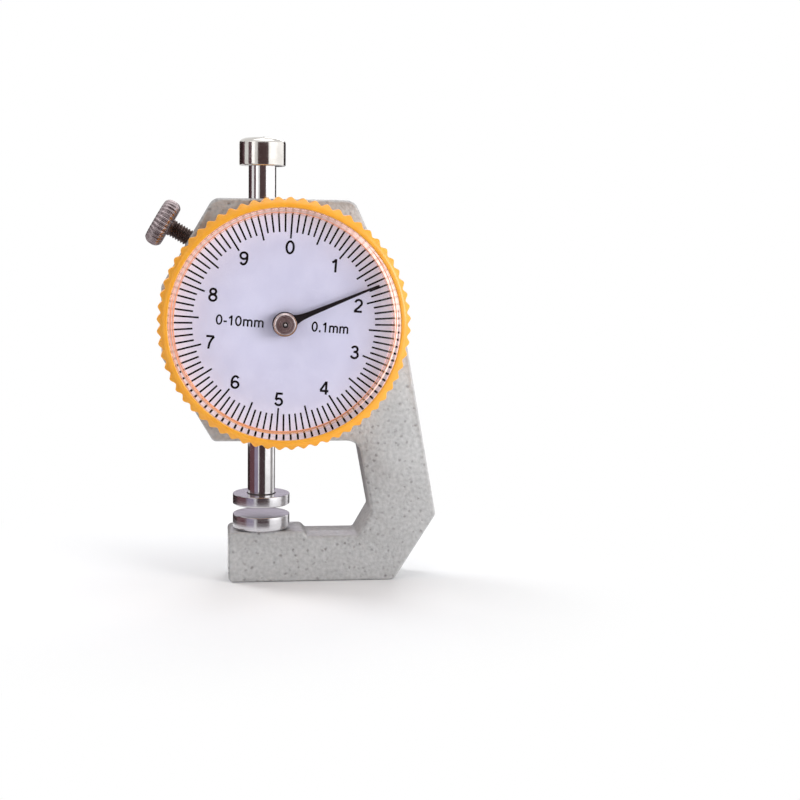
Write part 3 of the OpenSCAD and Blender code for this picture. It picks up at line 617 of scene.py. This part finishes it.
def buildTicks(front):
    bm = bmesh.new()
    half, wide = dialLook["tickWidth"] / 2, dialLook["boldWidth"] / 2
    bold, end = dialLook["boldFrom"], dialLook["tickEnd"]
    full = bold + dialLook["boldStep"]
    for i in range(dialLook["divisions"]):
        start = dialLook["longFrom"] if i % dialLook["longEvery"] == 0 else dialLook["shortFrom"]
        angle = dialLook["zeroTurn"] + 360 * i / dialLook["divisions"]
        turn = Matrix.Rotation(-math.radians(angle), 4, "Z")
        base = [(-half, start), (half, start), (half, bold), (wide, full), (wide, end), (-wide, end),
                (-wide, full), (-half, bold)]
        levels = (front - dialLook["sunk"], front + dialLook["ink"])
        skinRows(bm, [[bm.verts.new(turn @ Vector((x, y, z))) for x, y in base] for z in levels])
    addPiece("dial_divisions", bm, onDial, padInk, "bezel_body", "black_paint")


# points on part of an oval, angles in degrees
def bow(x, y, wide, tall, start, stop, steps=14):
    turns = [math.radians(start + (stop - start) * k / steps) for k in range(steps + 1)]
    return [(x + wide * math.cos(a), y + tall * math.sin(a)) for a in turns]


# plain figures as pen strokes in a box one unit high: a stroke that ends at its start is a loop
def penStrokes(sign):
    six = [bow(0.35, 0.3, 0.255, 0.24, 0, 360, 28), bow(0.37, 0.5, 0.275, 0.44, 42, 192, 18)]
    signs = {
        "0": [bow(0.36, 0.5, 0.265, 0.44, 0, 360, 32)],
        "1": [[(0.14, 0.72), (0.28, 0.80), (0.40, 0.95)], [(0.42, 1.0), (0.42, 0.0)]],
        "2": [bow(0.36, 0.70, 0.245, 0.24, 172, -38) + [(0.40, 0.38), (0.18, 0.18), (0.10, 0.06)],
              [(0.05, 0.06), (0.66, 0.06)]],
        "3": [bow(0.34, 0.735, 0.215, 0.205, 165, -82) + [(0.28, 0.53)],
              [(0.26, 0.53)] + bow(0.345, 0.297, 0.26, 0.237, 84, -168)],
        "4": [[(0.47, 0.97), (0.06, 0.30)], [(0.03, 0.27), (0.68, 0.27)], [(0.49, 1.0), (0.49, 0.0)]],
        "5": [[(0.62, 0.94), (0.19, 0.94), (0.12, 0.47)],
              [(0.12, 0.47)] + bow(0.345, 0.31, 0.26, 0.25, 138, -164)],
        "6": six,
        "7": [[(0.06, 0.94), (0.64, 0.94)], [(0.64, 0.93), (0.46, 0.70), (0.33, 0.42), (0.26, 0.0)]],
        "8": [bow(0.355, 0.745, 0.215, 0.2, 0, 360, 28), bow(0.355, 0.288, 0.26, 0.23, 0, 360, 28)],
        "9": [[(0.71 - x, 1 - y) for x, y in stroke] for stroke in six],
        "-": [[(0.05, 0.37), (0.40, 0.37)]],
        ".": [[(0.19, -0.04), (0.19, 0.18)]],
        "m": [[(0.15, 0.0), (0.15, 0.72)],
              [(0.15, 0.46)] + bow(0.365, 0.5, 0.205, 0.165, 158, 0) + [(0.57, 0.0)],
              [(0.58, 0.46)] + bow(0.785, 0.5, 0.205, 0.165, 158, 0) + [(0.99, 0.0)]]}
    advance = {"-": 0.465, ".": 0.388, "m": 1.163}.get(sign, 0.777)  # room that a sign takes, figures alike
    return advance, signs[sign]


def inkStroke(bm, path, pen, low, high, place):  # one pen stroke as a thin solid
    loop = len(path) > 2 and (Vector(path[0]) - Vector(path[-1])).length < 1e-6
    points = [Vector(p) for p in (path[:-1] if loop else path)]
    count, rows = len(points), []
    for i, point in enumerate(points):
        ways = []
        if loop or i > 0:
            ways.append((point - points[i - 1]).normalized())
        if loop or i < count - 1:
            ways.append((points[(i + 1) % count] - point).normalized())
        along = (ways[0] + ways[-1]).normalized()
        reach = pen / 2 / max(0.5, along.dot(ways[0]))  # mitred joint
        side = Vector((-along.y, along.x)) * reach
        left, right = point + side, point - side
        rows.append([bm.verts.new(place @ Vector((p.x, p.y, z)))
                     for p, z in ((left, low), (left, high), (right, high), (right, low))])
    skinRows(bm, rows, loop)


# a line of print, centred on its place, at a figure height and, if given, fitted to a width
def inkWord(bm, words, height, place, width=None):
    strokes, x = [], 0.0
    for sign in words:
        advance, drawn = penStrokes(sign)
        strokes += [[(x + px, py) for px, py in stroke] for stroke in drawn]
        x += advance
    pen = dialLook["pen"] * height
    xs = [p[0] for stroke in strokes for p in stroke]
    wide = (width - pen) / (max(xs) - min(xs)) if width else height
    middle = (max(xs) + min(xs)) / 2
    for stroke in strokes:
        path = [((px - middle) * wide, (py - 0.5) * height) for px, py in stroke]
        inkStroke(bm, path, pen, -dialLook["sunk"], dialLook["ink"], place)


def buildFigures(front):
    bm = bmesh.new()
    turn = Matrix.Rotation(-math.radians(dialLook["zeroTurn"]), 4, "Z")
    for figure in range(dialLook["figures"]):
        angle = 2 * math.pi * figure / dialLook["figures"]
        at = Vector((math.sin(angle), math.cos(angle), 0)) * dialLook["figureRing"]
        inkWord(bm, str(figure), dialLook["figureHeight"], turn @ Matrix.Translation((at.x, at.y, front)))
    for words, x, y, width in dialLook["notes"]:
        inkWord(bm, words, dialLook["noteHeight"], turn @ Matrix.Translation((x, y, front)), width)
    addPiece("dial_figures", bm, onDial, padInk, "bezel_body", "black_paint")


dialFront = buildDial()
buildTicks(dialFront)
buildFigures(dialFront)
print("dial printed:", dialLook["divisions"], "divisions")

# pointer: pressed strip that flares into its boss, and the turned cap over it with its washer and pip
pointerLook = {"tipHalf": 0.16, "rootHalf": 0.37, "flare": 0.4, "flareReach": 0.9, "flareHold": 0.4,
               "stations": 28, "crowd": 1.4, "edgeShare": 0.82, "eye": 1.3, "boss": 0.12, "bossSteps": 64,
               "bore": 0.75, "bevel": 0.36, "bevelDrop": 0.3, "capSteps": 128, "sunk": 0.02, "washer": 1.0,
               "washerProud": 0.05, "washerSteps": 96, "eyelet": 0.5, "pip": 0.22, "pipSteps": 64,
               "dome": ((1, 0.03), (0.7, 0.09), (0.35, 0.115), (0, 0.12)), "film": (0.002, 0.012)}


def buildPointer():
    back, front = depthOf("pointer")
    tip = max((fromDial(v.co) for v in nodes["pointer"].data.vertices), key=lambda p: p.x ** 2 + p.z ** 2)
    length = math.hypot(tip.x, tip.z)
    hub, eye = radiusOf("pointer_hub"), pointerLook["eye"]
    bm = bmesh.new()
    middle, crown = (back + front) / 2, (front - back) / 2
    rows = []
    for k in range(pointerLook["stations"] + 1):
        r = eye + (length - eye) * (k / pointerLook["stations"]) ** pointerLook["crowd"]
        past = max(r - hub, -pointerLook["flareHold"])
        half = (pointerLook["tipHalf"] + pointerLook["rootHalf"] * (1 - r / length)
                + pointerLook["flare"] * math.exp(-past / pointerLook["flareReach"]))
        flat = half * pointerLook["edgeShare"]
        shape = ((-half, 0), (-flat, crown), (flat, crown), (half, 0), (flat, -crown), (-flat, -crown))
        rows.append([bm.verts.new((r, y, middle + z)) for y, z in shape])
    skinRows(bm, rows)
    boss = hub + pointerLook["boss"]
    pourInto(bm, lathe([(eye, back), (boss, back), (boss, front), (eye, front)], pointerLook["bossSteps"],
                       closed=True))
    turn = Matrix.Rotation(math.atan2(tip.z, tip.x), 4, "Z")
    addPiece("needle", bm, onDial @ turn, needleLacquer, "pointer_body", "black_paint", "pointer", sharp=25)


def buildHub():
    back, front = depthOf("pointer_hub")
    hub, needleTop = radiusOf("pointer_hub"), depthOf("pointer")[1]
    bore, eye, bevel = pointerLook["bore"], pointerLook["eye"], pointerLook["bevel"]
    outline = softCorners([(bore, back, 0.05), (eye, back, 0.1), (eye, needleTop, 0),
                           (hub, needleTop, 0.08), (hub, front - pointerLook["bevelDrop"], 0.06),
                           (hub - bevel, front, 0.08), (bore, front, 0.05)])
    addPiece("pointer_cap", lathe(outline, pointerLook["capSteps"], closed=True), onDial, nickelHub,
             "pointer_body", "plated_steel", "pointer_hub")

    top = max(depthOf("pinion_arbor")[1], front)
    washer, eyelet, pip = pointerLook["washer"], pointerLook["eyelet"], pointerLook["pip"]
    sunk = pointerLook["sunk"]
    low, proud = front - sunk, top + pointerLook["washerProud"]
    ring = softCorners([(eyelet, low, 0), (washer, low, 0), (washer, proud, 0.04), (eyelet, proud, 0.04)])
    addPiece("cap_washer", lathe(ring, pointerLook["washerSteps"], closed=True), onDial, nickelHub,
             "pointer_body", "plated_steel")
    dome = [(pip, top - sunk)] + [(pip * share, top + rise) for share, rise in pointerLook["dome"]]
    addPiece("arbor_pip", lathe(dome, pointerLook["pipSteps"]), onDial, steelArbor, "pointer_body",
             "ground_steel")
    # painted shade: the thin dark disc under the pip stands in for the shade in the washer's eyelet
    wall, (under, over) = eyelet + sunk, pointerLook["film"]  # a thin dark film under the pip
    well = [(0, top + under), (wall, top + under), (wall, top + over), (0, top + over)]
    addPiece("pip_eyelet_shade", lathe(well, pointerLook["pipSteps"]), onDial, needleLacquer, "pointer_body",
             "black_paint")


buildPointer()
buildHub()
print("pointer and hub made")

# lock screw: barrel-shaped knurled head and a rolled thread
lockLook = {"thread": 0.5, "threadDepth": 0.27, "rowsPerTurn": 12, "threadSteps": 48, "runOut": 0.6,
            "crestPower": 0.8, "bore": 0.63, "boreDepth": 2.6, "knurls": 30, "knurlDepth": 0.3,
            "knurlPower": 1.4, "knurlRunOut": 0.4, "stepsPerKnurl": 10, "barrel": 0.75, "barrelRows": 10,
            "barrelPower": 3, "barrelShare": 0.97, "face": 1.15, "faceStep": 0.1, "headOver": 2}


def buildLock():
    toLock = onLock.inverted()
    points = [toLock @ v.co / mm for v in nodes["lock_screw"].data.vertices]
    head = [p for p in points if math.hypot(p.x, p.y) > lockLook["headOver"]]
    low, high = min(p.z for p in points), max(p.z for p in points)
    headLow, radius = min(p.z for p in head), max(math.hypot(p.x, p.y) for p in head)
    pitch, depth = lockLook["thread"], lockLook["threadDepth"]
    crest = max(math.hypot(p.x, p.y) for p in points if p.z < headLow - 0.5)

    def threadAt(r, z, angle):  # right-hand V thread with rounded crests
        if r < crest - 0.01:
            return r
        if z < low + 0.02:
            return crest - depth
        phase = (z / pitch - angle / (2 * math.pi)) % 1
        run = min(1, (headLow - z) / lockLook["runOut"])
        return crest - depth * run * (0.5 - 0.5 * math.cos(2 * math.pi * phase)) ** lockLook["crestPower"]

    rows = int((headLow - low) / pitch * lockLook["rowsPerTurn"])
    body = [(lockLook["bore"], low + lockLook["boreDepth"]), (lockLook["bore"], low)]
    body += [(crest, low + (headLow + 0.05 - low) * k / rows) for k in range(rows + 1)]
    addPiece("lock_thread", lathe(body, lockLook["threadSteps"], shape=threadAt), onLock, oxideAndShadeThread,
             "lock_screw_body", "plated_steel")

    middle, half = (headLow + high) / 2, (high - headLow) / 2 * lockLook["barrelShare"]
    barrel, count = lockLook["barrel"], lockLook["barrelRows"]
    rim = radius - lockLook["face"]
    flat = rim - lockLook["faceStep"]
    outline = [(0, headLow), (flat, headLow), (rim, headLow)]
    outline += [(radius - barrel * abs(t / count) ** lockLook["barrelPower"], middle + half * t / count)
                for t in range(-count, count + 1)]
    outline += [(rim, high), (flat, high), (0, high)]

    def knurlAt(r, z, angle):  # broad round ribs that run out at the faces
        bite = min(1, max(0, r - rim) / lockLook["knurlRunOut"])
        wave = (0.5 - 0.5 * math.cos(lockLook["knurls"] * angle)) ** lockLook["knurlPower"]
        return r - lockLook["knurlDepth"] * bite * wave

    steps = lockLook["knurls"] * lockLook["stepsPerKnurl"]
    addPiece("lock_head", lathe(outline, steps, shape=knurlAt), onLock, nickelScrew, "lock_screw_body",
             "plated_steel", "lock_screw", sharp=50)


buildLock()
print("lock screw cut")

# back cover: pressed disc with counterbored holes, and its three slotted screws
coverLook = {"edge": 0.2, "hole": 0.9, "counterbore": 1.7, "counterDepth": 0.7, "steps": 192,
             "head": 1.6, "headFlat": 1.2, "headDish": 0.05, "headHeight": 0.65, "headEdge": 0.22,
             "shank": 0.8, "tip": 0.5, "tipLength": 0.3, "slotWidth": 0.46, "slotDepth": 0.4,
             "slotTurn": 0.5, "slotStep": 1.1, "screwSteps": 64}


def islands(node):  # middle of each loose solid of a node, seen along the dial axis, in mm
    bm = bmesh.new()
    bm.from_mesh(nodes[node].data)
    bmesh.ops.remove_doubles(bm, verts=bm.verts, dist=1e-6)
    left, found = set(bm.verts), []
    while left:
        stack, part = [left.pop()], []
        while stack:
            v = stack.pop()
            part.append(fromDial(v.co))
            for e in v.link_edges:
                w = e.other_vert(v)
                if w in left:
                    left.remove(w)
                    stack.append(w)
        xs, zs = [p.x for p in part], [p.z for p in part]
        found.append(((max(xs) + min(xs)) / 2, (max(zs) + min(zs)) / 2))
    bm.free()
    return sorted(found)


def buildCover():
    back, front = depthOf("back_cover")  # back is the outside here, both negative
    radius, deep = radiusOf("back_cover"), back + coverLook["counterDepth"]
    outline = softCorners([(0, back, 0), (radius - 1, back, 0), (radius, back, coverLook["edge"]),
                           (radius, front, 0.05), (0, front, 0)], closed=False)
    holes = bmesh.new()
    for x, y in islands("back_cover_screws"):
        roundBar(holes, x, y, back - 1, deep, coverLook["counterbore"])
        roundBar(holes, x, y, deep - 0.01, front + 1, coverLook["hole"])
    plate = carve(lathe(outline, coverLook["steps"]), holes)
    addPiece("cover_plate", plate, onDial, enamel, "frame_body", "hammertone_paint", "back_cover")


def buildCoverScrews():
    top, end = depthOf("back_cover_screws")  # the head is at the back
    head, shank, under = coverLook["head"], coverLook["shank"], top + coverLook["headHeight"]
    outline = softCorners([(0, top, 0), (coverLook["headFlat"], top, 0),
                           (head, top + coverLook["headDish"], coverLook["headEdge"]), (head, under, 0.05),
                           (shank, under, 0), (shank, end - coverLook["tipLength"], 0.1),
                           (coverLook["tip"], end, 0), (0, end, 0)], closed=False)
    screws = bmesh.new()
    for i, (x, y) in enumerate(islands("back_cover_screws")):
        turn = Matrix.Rotation(coverLook["slotTurn"] + coverLook["slotStep"] * i, 4, "Z")
        slot = bmesh.new()
        bmesh.ops.create_cube(slot, size=1, matrix=turn @ Matrix.Diagonal(
            (6, coverLook["slotWidth"], 2 * coverLook["slotDepth"], 1)))
        bmesh.ops.translate(slot, vec=(0, 0, top), verts=slot.verts)
        one = carve(lathe(outline, coverLook["screwSteps"]), slot)
        bmesh.ops.translate(one, vec=(x, y, 0), verts=one.verts)
        pourInto(screws, one)
    addPiece("cover_screws", screws, onDial, steelArbor, "frame_body", "plated_steel", "back_cover_screws")


buildCover()
buildCoverScrews()
print("back cover closed")

# return spring: one wire from the post, up the coil, to the guide pin
springLook = {"wire": 0.16, "coil": 1.3, "turns": 9, "post": 0.7, "pin": 0.8, "slack": 0.07, "leg": 0.82,
              "hook": 340, "stepsPerTurn": 24, "sides": 10}


def wireTube(path, radius, sides):
    bm = bmesh.new()
    rows, side = [], Vector((1, 0, 0))
    turns = [2 * math.pi * k / sides for k in range(sides)]
    for i, point in enumerate(path):
        ahead = (path[min(i + 1, len(path) - 1)] - path[max(i - 1, 0)]).normalized()
        side = (side - ahead * side.dot(ahead)).normalized()
        up = ahead.cross(side)
        rows.append([bm.verts.new(point + (side * math.cos(a) + up * math.sin(a)) * radius) for a in turns])
    skinRows(bm, rows)
    return bm


def buildSpring():
    postLow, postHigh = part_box("spring_post")
    pinLow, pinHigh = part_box("guide_pin")
    x = (postLow.x + postHigh.x) / 2 / mm
    postZ, pinZ = (postLow.z + postHigh.z) / 2 / mm, (pinLow.z + pinHigh.z) / 2 / mm
    post, pin = springLook["post"] + springLook["slack"], springLook["pin"] + springLook["slack"]
    low, high = postZ + post + springLook["leg"], pinZ - pin - springLook["leg"]
    coil, hook, steps = springLook["coil"], springLook["hook"], springLook["stepsPerTurn"]
    path = []
    for k in range(steps + 1):  # hook round the post
        a = math.radians(90 - hook * (1 - k / steps))
        path.append(Vector((x + post * math.cos(a), 0.0, postZ + post * math.sin(a))))
    count = springLook["turns"] * steps
    for k in range(count + 1):
        a = 2 * math.pi * k / steps
        path.append(Vector((x + coil * math.cos(a), coil * math.sin(a), low + (high - low) * k / count)))
    for k in range(steps + 1):  # hook round the pin
        a = math.radians(-90 + hook * k / steps)
        path.append(Vector((x, pin * math.cos(a), pinZ + pin * math.sin(a))))
    bm = wireTube(path, springLook["wire"], springLook["sides"])
    spring = newObject("coil_spring", bm, Matrix.Identity(4), springWire, 180)
    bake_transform(spring)
    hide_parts("return_spring")


buildSpring()

# snap wire: a round ring that runs free in the bezel's groove
wireLook = {"thick": 0.44, "sides": 12, "steps": 192}


def buildSnapWire():
    back, front = depthOf("bezel_snap_wire")
    packed, half = (front - back) / 2, wireLook["thick"] / 2  # half the thickness, packed and drawn
    ring, level = radiusOf("bezel_snap_wire") - packed, (back + front) / 2
    turns = [2 * math.pi * k / wireLook["sides"] for k in range(wireLook["sides"])]
    outline = [(ring + half * math.cos(a), level + half * math.sin(a)) for a in turns]
    addPiece("snap_ring", lathe(outline, wireLook["steps"], closed=True), onDial, springWire, "frame_body",
             "spring_steel", "bezel_snap_wire")


buildSnapWire()
print("spring and snap wire bent")

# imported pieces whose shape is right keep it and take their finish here
finishes = (
    (groundSteel, ("spindle", "guide_pin")),
    (steelArbor, ("spring_post", "pinion_arbor", "guide_fork_screws", "bridge_screws")),
    (bushBrass, ("upper_bush", "lower_bush")),
    (turnedBrass, ("guide_fork", "movement_bridge", "rear_bearing", "front_bearing", "hairspring_collet",
                   "hairspring_stud", "lock_pad")),
    (bluedStrip, ("hairspring",)),
    (blackAcetal, ("bezel_retainer",)))
for finish, names in finishes:
    for name in names:
        if not nodes[name].data.materials:
            nodes[name].data.materials.append(finish)
        for slot in nodes[name].material_slots:
            slot.material = finish
print("packed pieces finished:", sum(len(names) for finish, names in finishes))

# studio: pale floor, soft lamps, white all round for the camera and for reflections
studioLook = {"ambient": 0.34, "sky": "F6F7FF", "floor": "F2F2F2", "floorHalf": 3.0, "floorDrop": 0.00005,
              "fadeFrom": 0.02, "fadeTo": 0.07}


def seenDirectly(tree):  # 1 for camera, mirror and glass rays
    rays = addNode(tree, "LightPath")
    either = addNode(tree, "Math", {
        0: rays.outputs["Is Camera Ray"], 1: rays.outputs["Is Glossy Ray"]}, operation="MAXIMUM")
    return addNode(tree, "Math", {
        0: either, 1: rays.outputs["Is Transmission Ray"]}, operation="MAXIMUM").outputs[0]


def buildWorld():
    world = bpy.data.worlds.new("studio")
    scene.world = world
    world.use_nodes = True
    tree = world.node_tree
    tree.nodes.clear()
    around = addNode(tree, "Background", {
        "Color": toLinear(studioLook["sky"]), "Strength": studioLook["ambient"]})
    white = addNode(tree, "Background", {"Color": (1, 1, 1, 1), "Strength": 1.0})
    both = addNode(tree, "MixShader", {
        0: seenDirectly(tree), 1: around, 2: white})
    addNode(tree, "OutputWorld", {"Surface": both})


# paper sweep: matt pale grey that keeps the shadow and fades to white away from the object
def buildFloor():
    mat, tree, shader = newMaterial("paper_sweep", **{
        "Base Color": toLinear(studioLook["floor"]), "Roughness": 0.9, "Specular IOR Level": 0.1})
    place = addNode(tree, "TexCoord").outputs["Object"]
    far = addNode(tree, "VectorMath", {0: place}, operation="LENGTH")
    fade = addNode(tree, "MapRange", {
        "Value": far.outputs["Value"], "From Min": studioLook["fadeFrom"],
        "From Max": studioLook["fadeTo"]}, interpolation_type="SMOOTHSTEP")
    share = addNode(tree, "Math", {0: fade, 1: seenDirectly(tree)}, operation="MULTIPLY")
    glow = addNode(tree, "Emission", {"Color": (1, 1, 1, 1), "Strength": 1.0})
    both = addNode(tree, "MixShader", {0: share, 1: shader, 2: glow})
    tree.links.new(both.outputs[0], tree.nodes["Material Output"].inputs["Surface"])
    mesh = bpy.data.meshes.new("floor")
    half = studioLook["floorHalf"]
    corners = [(-half, -half, 0), (half, -half, 0), (half, half, 0), (-half, half, 0)]
    mesh.from_pydata(corners, [], [(0, 1, 2, 3)])
    mesh.materials.append(mat)
    floor = bpy.data.objects.new("floor", mesh)
    floor.location.z = -studioLook["floorDrop"]
    scene.collection.objects.link(floor)


lamps = (  # name, place, width, height, watts
    ("keyLamp", (0.60, -0.42, 0.18), 0.36, 0.40, 3.9),
    ("fillLamp", (-0.36, -0.26, 0.16), 0.24, 0.30, 0.2),
    ("topLamp", (0.03, -0.02, 0.45), 0.35, 0.35, 0.7),
    ("rearLamp", (0.15, 0.38, 0.22), 0.25, 0.25, 0.6),
    ("edgeLamp", (-0.30, 0.24, 0.20), 0.20, 0.20, 1.1))
aim = Vector((0.006, 0, 0.042))


def buildLamps():
    for name, place, width, height, watts in lamps:
        data = bpy.data.lights.new(name, "AREA")
        data.shape = "RECTANGLE"
        data.size, data.size_y = width, height
        data.energy = watts
        lamp = bpy.data.objects.new(name, data)
        lamp.location = place
        lamp.rotation_euler = (aim - Vector(place)).to_track_quat("-Z", "Y").to_euler()
        lamp.visible_glossy = name != "edgeLamp"  # no mirror image of the edge light
        scene.collection.objects.link(lamp)


cameraLook = {"place": (-0.009976, -0.245144, 0.063718), "turn": (82.614, -0.921, -7.905), "lens": 63.011}


def buildCamera():
    data = bpy.data.cameras.new("camera")
    data.lens = cameraLook["lens"]
    data.sensor_width = 36.0
    data.clip_start = 0.01
    camera = bpy.data.objects.new("camera", data)
    camera.location = cameraLook["place"]
    camera.rotation_euler = [math.radians(a) for a in cameraLook["turn"]]
    scene.collection.objects.link(camera)
    scene.camera = camera


# cards in a ring about the spindle, each seen by one kind of ray: they draw the bands in the steel
# and shade the cap. angles run to the right from the camera's side
cardSteps = 16
cards = (  # name, from and to angle, ring, low and high edge, colour, glow, rays
    ("frontLow", -18, 32, 0.045, 0.0, 0.03, "4C3C3F", 1.0, "glossy"),
    ("frontHigh", -22, 30, 0.08, 0.018, 0.105, "5A4848", 1.0, "glossy"),
    ("frontBehindCrystal", -24, 30, 0.08, 0.0, 0.13, "705A5C", 1.0, "transmission"),
    ("rightBehindCrystal", 34, 90, 0.11, 0.0, 0.13, "FFFFFF", 1.3, "transmission"),
    ("leftLow", -110, -58, 0.045, 0.0, 0.03, "6E4C52", 1.0, "glossy"),
    ("leftMidLow", -58, -26, 0.045, 0.0, 0.03, "9A90A6", 1.0, "glossy"),
    ("leftHighSide", -110, -95, 0.08, 0.03, 0.105, "684E54", 1.0, "glossy"),
    ("leftHighFront", -71, -52, 0.08, 0.03, 0.105, "684E54", 1.0, "glossy"),
    ("leftBackLow", -180, -110, 0.045, 0.0, 0.017, "3A2B2D", 1.0, "glossy"),
    ("leftBackHigh", -150, -110, 0.08, 0.055, 0.1, "3A2B2D", 1.0, "glossy"),
    ("backGrey", 140, 220, 0.06, 0.018, 0.05, "C6BFCC", 1.0, "glossy"),
    ("rightLow", 32, 132, 0.11, 0.0, 0.03, "FFFFFF", 1.4, "glossy"),
    ("rightHigh", 32, 128, 0.11, 0.03, 0.13, "FFFFFF", 1.5, "glossy"),
    ("rightBackLow", 134, 180, 0.045, 0.0, 0.017, "4A4144", 1.0, "glossy"),
    ("rightBackHigh", 128, 180, 0.08, 0.055, 0.1, "3B3336", 1.0, "glossy"))


def buildCards():
    facing = math.atan2(cameraLook["place"][0], -cameraLook["place"][1])
    quads = [(k, k + 1, k + cardSteps + 2, k + cardSteps + 1) for k in range(cardSteps)]
    for name, start, stop, ring, low, high, colour, glow, seenBy in cards:
        mat = newMaterial("card_" + name, **{
            "Base Color": (0, 0, 0, 1), "Specular IOR Level": 0.0, "Roughness": 1.0,
            "Emission Color": toLinear(colour), "Emission Strength": glow})[0]
        mesh = bpy.data.meshes.new(name)
        step = (stop - start) / cardSteps
        turns = [math.radians(start + step * k) + facing for k in range(cardSteps + 1)]
        spots = [(ring * math.sin(a), -ring * math.cos(a)) for a in turns]
        mesh.from_pydata([(x, y, z) for z in (low, high) for x, y in spots], [], quads)
        mesh.materials.append(mat)
        card = bpy.data.objects.new(name, mesh)
        for ray in ("camera", "diffuse", "glossy", "transmission", "shadow"):
            setattr(card, "visible_" + ray, ray == seenBy)
        scene.collection.objects.link(card)


buildWorld()
buildFloor()
buildLamps()
buildCamera()
buildCards()
scene.view_settings.view_transform = "Standard"
print("studio lit:", len(lamps), "lamps")
